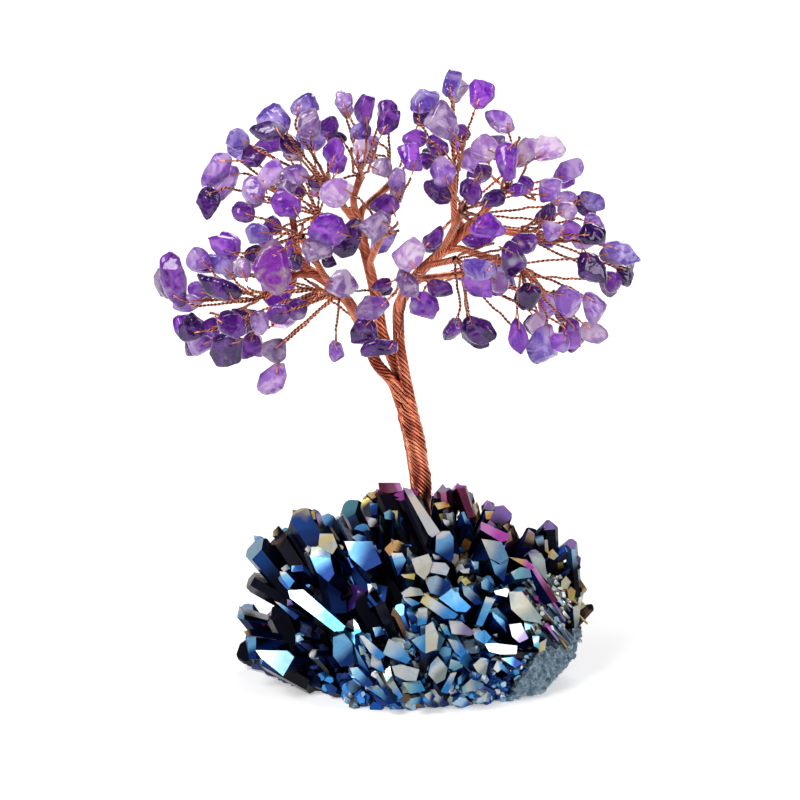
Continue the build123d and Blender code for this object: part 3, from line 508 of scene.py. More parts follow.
for name, points in limb_points.items():
    foot = [trunk_line[-24] + limb_side[name] * 1.2, trunk_line[-8] + limb_side[name] * 1.5]
    line = smoothed(resample(foot + points[1:], trunk_step), 14)
    offset = 1.20 - 0.30 * np.linspace(0, 1, len(line)) ** 2
    wires = twisted(line, offset, limb_pitch, limb_strands, rng.uniform(0, 6))
    middle = smoothed(np.concatenate([trunk_line[:-below_head], line[above_head:]]), 8)
    free = list(range(limb_strands))
    tubes = Tubes()
    for index in shares[name]:
        below = trunk_wires[index][:-below_head]
        best = min(free, key=lambda k: np.linalg.norm(wires[k][above_head] - below[-1]))
        free.remove(best)
        strand = np.concatenate([below, wires[best][above_head:]])
        tubes.add(smoothed(strand, 8), run_on_strand, 8, rng.uniform(0, 1), middle)
    for k, wire in enumerate(wires):
        start = 0 if k in free else 12
        tubes.add(wire[start:], limb_strand, 8, rng.uniform(0, 1), line[start:])
    tubes.add(line, limb_core, 12, core_tone, painted_crease_shade=core_painted_shade)
    limb = tubes.build(f"{name}_copper")
    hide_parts(name)
    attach(limb, "tree")

tubes = Tubes()
narrow = np.clip(np.arange(len(trunk_line))[::-1] / 8, 0.55, 1)
tubes.add(trunk_line, trunk_core * narrow, 18, core_tone, painted_crease_shade=core_painted_shade)
trunk = tubes.build("trunk_copper")
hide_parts("trunk")
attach(trunk, "tree")


# Stones

# Tone of each front chip, judged one by one, and its pixel column and row: d near black,
# p plum, v vivid, l lavender, b bluish lavender, g grey, k pale pink, m grey over vivid.
chip_tones = {
    "left_outer": "l 201 262; p 180 281; g 165 282; d 222 294; v 200 290; l 188 304; b 223 267;"
        " k 245 270",
    "left_low": "d 191 328; v 211 329; l 197 345; d 230 351; p 241 318; l 265 322; p 252 346",
    "left_hanging": "g 275 353; p 281 316; p 298 311; m 276 277; g 347 287; l 274 380; l 339 354",
    "left_inner": "v 229 247; p 249 224; b 259 238; p 273 228; d 256 258; v 291 214; d 291 245;"
        " g 316 257; d 299 262; d 329 265",
    "left_upper": "l 222 181; d 215 207; l 254 194; l 273 178; g 294 187; p 281 199",
    "crown_left": "b 239 149; p 257 160; d 270 143; b 276 125; p 292 149; b 311 111; g 311 133;"
        " p 331 131; v 336 161; l 304 173",
    "crown_top": "l 344 105; p 361 116; p 388 114; p 389 131; b 368 142; d 348 143; k 365 156;"
        " g 385 177; d 317 187",
    "crown_centre": "k 341 198; v 326 235; d 350 243; g 377 239; p 384 210; l 398 188; v 407 167",
    "right_top": "b 456 91; v 478 99; b 428 112; g 444 130; p 459 138; v 414 137; p 434 157;"
        " p 424 166",
    "right_upper": "k 475 156; l 496 130; g 495 148; v 503 171; k 524 156; k 545 154; l 567 174;"
        " v 522 191; p 480 177; l 546 196",
    "right_centre": "l 446 178; p 438 198; p 467 208; d 491 207; v 484 227; v 508 199",
    "right_outer": "d 545 217; l 562 202; b 588 205; k 563 217; l 549 236; v 566 238; d 584 238;"
        " l 593 236; b 622 257; d 587 273; p 611 284; d 624 277",
    "right_low": "d 526 299; l 545 309; l 566 304; l 594 312; k 538 325; b 541 348; v 572 336;"
        " k 593 335; v 556 344; v 516 341",
    "right_inner": "v 477 250; b 472 270; v 480 287; k 497 284; p 519 246; d 509 271; p 451 332;"
        " d 476 334",
    "centre_low": "k 404 254; p 432 243; g 407 294; v 423 309; p 439 292; p 383 287; l 371 310;"
        " d 365 336; d 379 350",
}
# The darkest and the palest colour of each tone.
tone_colors = {
    "d": ((0.035, 0.004, 0.10), (0.15, 0.030, 0.32)),
    "p": ((0.10, 0.014, 0.24), (0.32, 0.08, 0.55)),
    "v": ((0.20, 0.025, 0.50), (0.52, 0.14, 0.86)),
    "l": ((0.34, 0.11, 0.66), (0.80, 0.54, 1.00)),
    "b": ((0.20, 0.09, 0.58), (0.58, 0.42, 0.96)),
    "g": ((0.24, 0.11, 0.38), (0.70, 0.54, 0.76)),
    "k": ((0.54, 0.26, 0.76), (1.00, 0.78, 1.00)),
    "m": ((0.34, 0.04, 0.56), (0.54, 0.36, 0.46)),
}
unseen_tones = "dpvlbgkvpd"
stone_voxel, stone_relax_rounds = 0.24, 5
stone_cuts, cut_levels = 9, (0.52, 0.86)
stone_growth, broad_growth, ridge_depth = 0.58, 0.20, 0.12
broad_scale, ridge_scale = 0.30, 0.38
# A stone's skin lies this far off its solid at most, in mm, where it swings, and the
# stones beside it leave this gap to all places that it sweeps.
swing_growth = 0.12
swing_gap = 0.45

swept = []
for joint in frame["joints"]:
    pivot = np.array(joint["pos_m"]) / MM
    around = np.concatenate([shell[0] for shell in islands(joint["child"])]) / MM - pivot
    for turn in np.linspace(*np.radians(joint["range_deg"]), 9):
        matrix = np.array(Matrix.Rotation(turn, 3, Vector(joint["axis"])))
        swept.append(around @ matrix.T + pivot)
swept = np.concatenate(swept)
kept_clear = KDTree(len(swept))
for i, point in enumerate(swept):
    kept_clear.insert(point, i)
kept_clear.balance()


def stones(node, name, tones, body):
    """Tumbled stones made from the drilled solids of a CAD node."""
    shells = islands(node)
    mesh, co, normals = remeshed(name, *joined(shells), stone_voxel, stone_relax_rounds)
    centres = np.array([vertices.mean(0) / MM for vertices, _ in shells])
    pairs = read(mesh.edges, "vertices", 2, int)
    label = np.unique(groups_of(len(co), pairs.tolist()), return_inverse=True)[1]
    middles = np.array([co[label == k].mean(0) for k in range(label.max() + 1)])
    nearest = np.linalg.norm(middles[:, None] - centres[None], axis=2).argmin(1)
    owner = nearest[label]
    seeds = rng.uniform(-50, 50, (len(shells), 3))
    dark, pale, local = np.ones((len(co), 4)), np.ones((len(co), 4)), np.zeros((len(co), 3))
    for number, centre in enumerate(centres):
        mine = owner == number
        spot = pixel_of(centre)
        if tones:
            tone = min(entries(tones), key=lambda entry: np.sum((entry[1] - spot) ** 2))[0]
        else:
            tone = unseen_tones[int(rng.integers(0, len(unseen_tones)))]
        shift = rng.uniform(0.85, 1.15)
        for values, color in zip((dark, pale), tone_colors[tone]):
            values[mine, :3] = np.clip(np.array(color) * shift, 0, 1)
        local[mine] = co[mine] - centre + seeds[number]
    out = co.copy()
    for number, centre in enumerate(centres):
        mine = np.nonzero(owner == number)[0]
        if not len(mine):
            continue
        points = out[mine] - centre
        size = np.linalg.norm(points, axis=1).max()
        eyes = [e - centre for e in wire_eyes if np.linalg.norm(e.mean(0) - centre) < size * 1.3]
        thin = np.linalg.eigh(points.T @ points)[1][:, 0]
        for _ in range(stone_cuts):
            normal = unit(rng.normal(0, 1, 3) + thin * rng.normal(0, 0.5))
            level = (points @ normal).max() * rng.uniform(*cut_levels)
            for eye in eyes:
                level = max(level, (eye @ normal).max() - 0.25)
            points = points - normal * np.maximum(0, points @ normal - level)[:, None]
        out[mine] = points + centre
    total, weight = np.zeros_like(out), np.zeros(len(out))
    for a, b in (pairs.T, pairs.T[::-1]):
        np.add.at(total, a, out[b])
        np.add.at(weight, a, 1)
    out = out * 0.5 + total / weight[:, None] * 0.5
    for i, normal in enumerate(normals):
        p = Vector(local[i])
        broad = noise.noise(p * broad_scale)
        ridge = 1 - abs(noise.noise(p * ridge_scale + Vector((9, 3, 5))))
        most = swing_growth
        if body == "tree":
            most = max(0, kept_clear.find(out[i])[2] - swing_gap)
        growth = stone_growth + broad_growth * broad - ridge_depth * ridge ** 4
        out[i] += normal * min(growth, most)
    mesh.vertices.foreach_set("co", (out * MM).ravel())
    store(mesh, "dark", dark, "FLOAT_COLOR")
    store(mesh, "pale", pale, "FLOAT_COLOR")
    store(mesh, "local", local, "FLOAT_VECTOR")
    mesh.update()
    soften(mesh)
    obj = shown(name, mesh)
    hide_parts(node)
    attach(obj, body)
    return obj


stone_objects = [
    stones(f"{spray}_chips", f"{spray}_stones", chip_tones.get(spray), "tree")
    for spray in spray_pixels
]
swing_tones = {
    "hanging_chip_long_stem": "l 0 0",
    "hanging_chip_small": "l 0 0",
    "hanging_chip_speckled": "v 0 0",
}
for node, tone in swing_tones.items():
    stone_objects.append(stones(node, f"{node}_stone", tone, node))


# Cluster

core = np.array([0.0, 0.0, 4.0])
dome_size = np.array([45.0, 38.0, 45.0])
back_size = np.array([45, 33, 49])
back_tip_share, back_root_share = 0.92, 0.30
usual_shares = (94, 76)
facet_share = 1.03
small_drop = 0.16

# Letters of the metal film: n navy, b bright blue, s steel, w white, c cream, y gold,
# f orange, m magenta, r dark red, u violet, l lilac, o brown, g grey green, t teal,
# k black, which is painted shade. Each has five colours in thousandths, from faces in
# painted shade to faces with a painted highlight.
film_colors = """
n  1 2 8  3 7 35  6 20 110  12 50 240  30 120 420;
b  2 6 40  5 35 240  14 140 620  80 400 920  280 660 1000;
s  3 8 30  12 50 170  70 200 420  240 460 700  600 800 940;
w  10 40 140  80 300 660  450 700 900  820 900 940  960 970 950;
c  12 30 80  100 160 240  450 500 460  840 810 640  1000 970 860;
y  12 10 10  100 70 20  450 320 60  840 660 180  1000 900 480;
f  12 6 6  120 40 20  500 180 30  900 420 100  1000 660 300;
m  12 3 20  80 8 100  340 30 340  760 130 700  960 460 900;
r  8 2 5  30 5 15  90 14 45  220 40 100  420 140 260;
u  6 3 16  20 8 80  80 25 240  250 100 540  500 340 780;
l  20 12 40  70 50 160  200 150 360  380 300 560  620 540 760;
o  8 4 6  30 14 14  100 50 35  260 140 80  500 340 200;
g  12 20 30  40 70 110  170 230 260  440 520 500  760 840 800;
t  4 14 30  8 50 110  20 180 300  100 440 580  360 720 800;
k  1 1 2  2 2 4  3 3 7  6 6 14  12 13 30
"""
film_colors = {
    letter: np.reshape(numbers, (5, 3)) / 1000 for letter, numbers in entries(film_colors)
}
# Crystals seen in front: three letters for the film on body, tip and root,
# tip and root as pixel column and row, and half the width in pixels. Where one stands
# far out or far in, the shares of the dome for tip and root follow, in hundredths.
# Crystals with the black k film on the body stand where the cluster lies in deep shadow: painted
# shade. The root letter, mostly k or n, is painted shade towards the root.
seen_crystals = """
nwk 246 540 302 606 10; kok 274 529 325 604 12; ktk 285 528 330 600 8; nyk 294 510 345 592 12;
ncn 309 511 350 590 7; ntn 328 514 374 600 10; byn 328 533 336 602 12 97 80;
ngk 308 547 322 590 5 95 78; nbk 357 522 376 556 7 90 76; bsn 282 566 330 622 9 95 76;
kkk 243 578 312 616 10 93 72; nsk 237 606 272 652 9 95 74; kkk 273 603 302 662 13 88 70;
kkk 229 649 284 668 12 96 72; bbn 250 636 253 668 4 98 84; oon 247 628 266 650 5 94 78;
nbk 296 633 318 654 5 92 74; nwk 312 648 330 668 5 94 76; bbn 340 628 378 692 11 97 84;
bbn 349 663 386 694 6 97 86; bsb 366 679 396 702 5 96 86; bwb 373 667 398 698 4 98 86;
kkk 318 560 372 640 13 86 68; kuk 346 582 396 662 14 84 66; knk 372 580 402 650 10 88 70;
nkk 336 548 380 620 11 84 68; nsk 370 581 384 604 4 92 78; nwk 378 623 392 644 5 95 80;
bbn 398 600 412 636 4 96 84; nbk 409 603 420 640 5 94 80; ooo 393 604 412 648 4 95 84;
tyk 387 508 404 540 8 99 86; nnk 396 514 410 548 6 97 84; gwk 371 514 392 548 7 97 82;
sgn 428 569 468 612 11 97 80; sbn 462 582 490 608 6 100 88; yyo 457 575 484 598 4 101 90;
gwk 456 566 478 580 5 98 84; ntk 472 560 484 584 4 95 82; bbn 483 576 506 602 6 98 84;
gwb 422 603 426 646 7 100 86; bwn 439 621 456 646 4 99 86; bbn 447 634 480 676 10 99 82;
bbn 442 643 456 672 5 100 88; bwb 445 688 462 664 4 98 88; bbn 456 685 470 664 4 96 86;
gcb 383 668 404 700 6 97 84; yoo 398 690 420 704 6 92 82; bbn 416 689 436 704 5 93 82;
gwn 429 688 444 702 5 93 82; bbn 489 607 514 630 5 98 84; bwb 471 626 500 650 6 100 88;
bwn 493 656 512 674 5 97 84; sbn 460 676 494 692 6 96 84; rok 502 532 526 566 7 97 84;
ook 507 524 520 552 5 94 82; yuk 489 500 493 540 6 97 82; fok 471 499 480 542 6 97 80;
bbn 460 510 476 550 5 99 84; llr 466 490 476 522 5 94 80; okk 529 527 542 576 8 96 78;
kuk 549 520 553 572 8 96 78; gln 526 552 554 604 9 97 80; yfk 555 551 566 580 5 97 82;
suk 572 539 578 592 7 96 78; uun 579 556 576 602 3 98 88; ycn 567 577 560 608 5 99 84;
fon 573 588 570 616 5 99 86; ooo 588 596 572 570 3 99 90; cgo 582 589 577 630 4 99 88;
okk 595 606 574 632 4 98 84; lmu 569 600 573 630 3 100 90; gyo 586 602 568 640 5 97 84;
cwn 540 588 566 622 4 100 88; nbk 350 540 392 592 15 93 74; nbk 361 630 388 660 6 95 82;
nbk 372 650 394 678 10 94 80; ngk 389 635 420 672 12 93 76; nfk 392 537 407 594 9 92 74;
nbk 446 529 454 586 10 93 74; nbk 414 556 466 600 13 94 76; nbk 403 588 430 616 10 95 78;
nyk 422 592 460 618 8 99 88; nbk 444 588 482 622 10 97 84; nbk 431 619 429 676 14 97 80;
nbk 447 619 496 640 8 97 84; ntk 451 651 466 684 10 94 78; nbk 437 655 437 694 10 96 80;
nbk 394 662 436 688 10 95 80; kgk 402 676 436 698 9 92 78; nbk 492 592 478 634 6 97 84;
nbk 485 644 530 656 7 96 84; nbk 480 654 480 690 8 94 76; nbk 495 587 522 604 7 93 80;
nbk 513 589 556 646 11 95 80; ngk 513 620 532 654 9 94 78; nbk 488 537 512 602 11 93 74;
kmk 482 522 514 546 6 97 86; nbk 257 650 304 676 14 93 78; krk 526 560 558 602 4 97 88;
nbk 291 590 342 632 9 95 82
"""
# Open facets seen in front: letters for the middle, the bright end and the
# far end, and the corners as pixel columns and rows, beginning at the bright end.
open_facets = """
bwn 251 537 260 538 264 556 254 546; oyk 271 533 277 527 280 531 276 537 271 538;
tbn 280 532 283 529 289 530 288 537 281 537; yoc 291 511 299 512 306 520 300 524 291 520;
ccy 300 511 314 512 315 520 308 519; luk 315 514 320 513 325 529 320 528;
bsn 321 516 328 513 334 516 332 527 325 525;
ycc 320 533 333 533 338 545 333 553 324 549 319 544; wwg 305 549 308 545 312 547 309 552;
cgs 312 546 322 546 331 553 331 557 311 554; bsn 310 554 331 557 335 572 329 580 317 570;
wcs 281 568 287 564 291 568 284 571; bwb 280 571 286 571 295 580 290 587 282 577;
nbn 292 565 303 564 304 570 292 571; ssb 289 589 304 588 346 623 344 627 335 628 291 596;
bwn 275 600 281 602 300 614 296 618; ulu 288 598 292 599 294 603 288 604;
sws 237 608 243 616 243 621 238 620; oyk 243 632 252 629 251 636 247 637;
bbn 247 638 256 637 256 659 249 660; sws 256 649 288 649 295 655 284 674 262 657;
wbs 296 633 301 633 305 637 298 640; gwk 311 650 317 647 319 653 314 655;
bbn 334 634 345 630 353 640 355 660 342 663 334 652;
bwn 345 540 372 540 369 551 382 561 366 569 351 556;
bsn 352 536 358 533 366 535 367 540 360 542; fok 391 537 407 545 402 551 393 549;
bwn 391 551 402 551 406 558 402 566 398 573;
bwn 436 534 442 530 449 530 453 536 453 556 450 560 435 550;
cwc 411 557 428 552 432 560 429 570 424 577 416 571;
www 432 560 445 561 449 566 446 573 430 570; lwk 432 552 442 555 445 558 434 557;
ycy 401 572 415 571 414 577 404 575; cwg 401 590 410 584 420 586 424 592 414 588 404 594;
swb 402 591 408 595 420 600 412 603 404 597;
wyb 424 590 433 596 457 611 454 615 443 615 420 599;
bbb 451 586 470 604 465 609 455 608 438 595;
sgn 424 576 436 573 450 580 450 586 440 593 430 590; wsk 368 581 371 582 376 586 369 590;
tbn 384 512 390 509 395 513 392 519 385 518; wlk 366 516 376 518 380 526 370 526;
nbn 370 503 378 503 377 514 371 515; bbn 461 512 466 510 471 524 465 523;
wck 442 518 449 520 450 529 444 523; swb 354 616 358 620 362 628 355 631;
bwn 373 624 381 623 385 630 376 633; wwb 360 632 364 632 386 651 379 656 370 648;
ggg 359 641 367 650 361 651; wcb 372 651 380 651 385 668 379 666 371 661;
sgb 389 635 402 642 411 655 406 659 383 650;
www 392 662 401 660 419 665 416 676 406 676 395 671; gcs 383 668 390 662 392 671 387 677;
tgb 402 678 420 676 425 686 410 689; bsb 411 636 425 630 425 649 420 646;
cwc 425 622 432 618 438 632 436 645 425 649; gwb 418 605 427 605 426 620 417 622;
wwl 448 617 460 618 474 629 470 632 451 630; twb 439 621 446 622 450 632 444 630;
swb 447 635 456 637 466 648 460 653 454 648;
wsg 430 660 437 652 447 664 444 675 436 679 428 670; tgs 450 655 460 658 456 666 448 664;
swb 450 669 456 668 447 689 440 687; bbn 457 674 463 668 460 678 457 681;
gwn 424 690 430 687 435 692 430 698; bsn 410 694 420 692 424 699 412 699;
bsn 350 664 358 663 374 680 368 683 354 672; bwn 371 682 378 681 397 698 388 700;
swn 374 668 378 669 391 690 386 691; yfc 465 505 475 504 478 510 476 515 470 517 465 512;
mmm 481 521 509 534 507 540 500 541 480 529; gcs 481 538 501 541 508 557 499 562 489 557;
bbn 489 557 499 561 508 557 503 580 494 572; ofk 503 526 507 523 513 527 508 531;
olk 529 529 535 534 534 548 522 548; snk 535 537 544 536 546 545 540 552;
mul 549 521 555 527 552 533 545 529; ccy 546 541 549 541 550 555 546 552;
yfc 550 553 554 550 560 557 555 561 549 558; gsk 566 546 571 541 577 549 575 557 568 553;
uuk 574 560 581 558 583 570 576 568; glg 528 553 541 553 545 560 547 581 534 567;
ffm 508 556 526 559 534 567 530 569; mmr 526 560 534 565 558 600 552 602 540 583;
tws 510 571 520 566 529 568 531 576 514 578; ycc 562 582 567 577 572 583 568 590 562 589;
ffy 568 591 572 588 577 592 575 601 570 602; cwg 577 594 583 592 584 604 578 606;
ccg 574 608 582 606 580 623 575 629; wwc 493 589 505 586 508 588 506 595 495 592;
cwg 508 590 521 590 527 598 541 616 537 621 522 618 510 607;
bwb 485 594 494 597 481 623 475 621; bbn 491 609 503 618 505 629 492 614;
sbn 461 582 468 584 481 600 474 602 463 592; bsn 480 580 485 576 493 583 488 589 481 586;
ycy 460 578 465 575 470 580 464 583; wlw 458 568 469 566 468 571 462 571;
wts 470 558 478 565 474 568; bwb 472 629 484 627 490 634 484 641 474 635;
wsc 483 640 492 640 516 643 515 651 499 651 488 648;
cgl 508 622 520 621 527 636 518 640 511 634; tgs 523 618 530 619 529 627 524 628;
wbt 531 634 538 634 538 647 533 644; yfc 537 642 546 637 544 648 538 650;
cwg 472 661 480 654 487 659 484 672 477 669; wwb 492 665 496 657 504 663 496 669;
gts 461 683 470 675 483 680 474 686 462 689; bsn 500 655 512 654 521 660 514 665;
rmr 400 483 403 491 380 495 378 483 390 485; clw 403 487 411 489 440 531 432 536 428 533;
lll 443 484 448 490 449 500 434 498 434 494; mmm 458 483 467 491 463 498 455 497 451 491;
yyf 434 503 447 501 450 506 438 509; ycf 366 494 376 491 379 496 372 499;
lml 466 494 474 494 472 503 467 503; uml 488 500 496 509 492 511 484 509;
ycf 485 511 494 511 490 519 486 519; wcs 451 498 457 496 459 501 452 503
"""
# Crystals at the trunk: letters, tip and root as pixel column, row and depth, and half
# the width in pixels. The first ones stand before and beside it, the last ones behind.
trunk_crystals = """
kyk 366 493 0 398 560 -14 11; krk 380 482 0 414 556 -15 14; kmk 399 484 -2 432 556 -17 12;
rlk 444 484 -3 450 536 -14 8; rmr 458 482 -3 470 520 -12 7; yfk 438 499 -6 450 540 -15 6;
gwk 447 508 -9 452 540 -16 6; ntk 345 498 9 372 560 0 12; nmk 425 486 10 424 540 4 11;
nuk 505 500 6 486 556 -2 12
"""
# Crystals at the back: turn and rise in degrees, and radius in mm.
back_crystals = [
    (8, 20, 4.4), (30, 34, 4.2), (26, 8, 4.6), (50, 16, 4.2), (54, 44, 4.0), (74, 8, 4.8),
    (82, 30, 4.4), (76, 54, 3.8), (100, 16, 4.2), (108, 42, 4.2), (124, 10, 4.8), (132, 34, 4.2),
    (150, 20, 4.4), (154, 44, 3.8), (172, 12, 4.6),
]
# Small crystals between the others: columns and rows of their tips, how many, radius in
# mm, length in pixels, angle at which they grow away from their roots in degrees from
# the right, letters to choose from, the dome's share, and how much less the root's is.
small_crystals = [
    ((238, 350), (530, 668), 110, (1.2, 2.6), (24, 50), (112, 160),
        "nnk kkk nbk nkk", (0.66, 0.82)),
    ((335, 410), (545, 660), 70, (1.2, 2.6), (24, 50), (105, 150),
        "kkk nkk nbk okk", (0.66, 0.82)),
    ((404, 480), (600, 660), 130, (0.9, 2.3), (12, 30), (90, 165),
        "bwn wwb sgb bbn gwb nbb bbb nsn", (0.84, 0.95)),
    ((346, 480), (655, 702), 130, (0.9, 2.3), (12, 30), (90, 165),
        "bwn wwb sgb bbn gwb nbb bbb nsn", (0.84, 0.95)),
    ((360, 480), (640, 702), 120, (0.5, 1.2), (8, 18), (60, 165),
        "bwn nbn sgb bbn gwb nnk bbb bsn", (0.84, 0.94)),
    ((400, 480), (540, 600), 90, (0.6, 1.6), (10, 26), (90, 150),
        "bwn gcw nbk sgk wwb ycg", (0.76, 0.92)),
    ((470, 530), (636, 702), 300, (0.4, 0.95), (5, 14), (40, 150),
        "nbn nnk bsn nnn kbk bwn", (0.8, 0.92)),
    ((480, 530), (560, 640), 90, (0.6, 1.6), (8, 24), (90, 150),
        "cwb wcb cwg gwn ycg", (0.78, 0.93)),
    ((520, 568), (574, 628), 150, (0.32, 0.6), (16, 34), (118, 142),
        "ccy wcc ycc gwt tgn mml lcy ocy ogk cwg", (0.93, 1.02), 0.03),
    ((562, 590), (580, 628), 60, (0.3, 0.6), (10, 20), (90, 120),
        "ccy gck yok mmr wgo okk", (0.92, 1.02), 0.05),
    ((350, 440), (490, 560), 80, (0.6, 1.8), (10, 30), (100, 150),
        "nbk kgk nsk otk kkk nwk", (0.74, 0.9)),
    ((440, 580), (500, 580), 140, (0.5, 1.5), (10, 26), (80, 130),
        "umk yfk gcn gcw ocy mrk ltk", (0.76, 0.91)),
    ((240, 372), (650, 688), 60, (0.8, 1.8), (14, 30), (130, 170),
        "nnk nnn nbk", (0.74, 0.86)),
]
# Letters of the crystals that fill the back and the top.
fill_count = 420
fill_letters = ("nsk", "nbk", "nuk", "kkk", "sbn", "umk", "nck")


def on_dome(column, row, share):
    """Place in mm seen at a pixel on the front of the dome that the tips make."""
    x = (column - axis_column) * mm_per_pixel
    rise = (ground_row - row) * mm_per_pixel / cos_rise - core[2]
    slope = sin_rise / cos_rise
    wide, deep, high = dome_size * share
    square = 1 / deep ** 2 + (slope / high) ** 2
    linear = -2 * rise * slope / high ** 2
    rest = (x / wide) ** 2 + (rise / high) ** 2 - 1
    root = math.sqrt(max(0.0, linear ** 2 - 4 * square * rest))
    return place(column, row, (-linear - root) / (2 * square))


def taken_from(shape):
    """Vertices and faces of a bmesh, which is freed."""
    shape.verts.index_update()
    vertices = [np.array(v.co) for v in shape.verts]
    faces = [[v.index for v in f.verts] for f in shape.faces]
    shape.free()
    return vertices, faces


def hull_of(points):
    """Convex hull of points, as vertices and faces."""
    shape = bmesh.new()
    for p in points:
        shape.verts.new(p)
    bmesh.ops.convex_hull(shape, input=shape.verts[:])
    loose = [v for v in shape.verts if not v.link_faces]
    bmesh.ops.delete(shape, geom=loose, context="VERTS")
    return taken_from(shape)


def flat_on_dome(spots, share):
    """Places in mm, in one plane at the dome, seen at pixel columns and rows; its normal."""
    middle = on_dome(*spots.mean(0), share)
    lean = unit(middle - core) + 0.8 * view_way + np.array([0, 0, 0.4])
    outward = unit(lean + rng.normal(0, 0.12, 3))
    places = []
    for c, r in spots:
        near = place(c, r, 0)
        way = place(c, r, 1) - near
        places.append(near + way * ((middle - near) @ outward) / (way @ outward))
    return places, outward


def column(root, tip, radius, look, blunt):
    """Convex six-sided crystal with a side towards look: planes cut a long box."""
    way = unit(tip - root)
    length = np.linalg.norm(tip - root)
    side = across(look, way)
    other = np.cross(way, side)
    shape = bmesh.new()
    bmesh.ops.create_cube(shape, size=1)
    middle = Matrix.Translation(Vector((root + tip) / 2))
    basis = Matrix((side, other, way)).transposed().to_4x4()
    grow = Matrix.Diagonal((radius * 4, radius * 4, length * 1.02, 1))
    bmesh.ops.transform(shape, matrix=middle @ basis @ grow, verts=shape.verts)
    planes = [(np.array([0, 0, 0.05]), np.array([0, 0, -1.0]))]
    turn = rng.uniform(-0.35, 0.35)
    angles = [turn + k * math.pi / 3 for k in range(6)]
    ways = [side * math.cos(angle) + other * math.sin(angle) for angle in angles]
    for out in ways:
        foot = root + out * radius * rng.uniform(0.72, 1.0)
        planes.append((foot, unit(out - way * rng.uniform(0.0, 0.05))))
    steep = 0 if rng.uniform() < 0.7 else int(rng.integers(0, 6))
    for k, out in enumerate(ways):
        slope = unit(out * 0.78 + way * rng.uniform(0.55, 0.85))
        cut = rng.uniform(0.4, 0.95) if k == steep else rng.uniform(0.0, 0.25)
        planes.append((tip + way * radius * 0.25 - slope * (blunt * radius * cut), slope))
    for point, normal in planes:
        cut = bmesh.ops.bisect_plane(
            shape, geom=shape.verts[:] + shape.edges[:] + shape.faces[:],
            plane_co=Vector(point), plane_no=Vector(normal), clear_outer=True,
        )
        rim = [e for e in cut["geom_cut"] if isinstance(e, bmesh.types.BMEdge)]
        if rim:
            bmesh.ops.contextual_create(shape, geom=rim)
    return taken_from(shape)


def film_at(letter, level):
    """Colour of a film between two of its five levels; the level is painted light, from painted
    shade at the lowest to a painted highlight at the highest.
    """
    level = float(np.clip(level, 0, 3.99))
    low, high = film_colors[letter][int(level):int(level) + 2]
    return [*(low + (high - low) * (level - int(level))), 1.0]


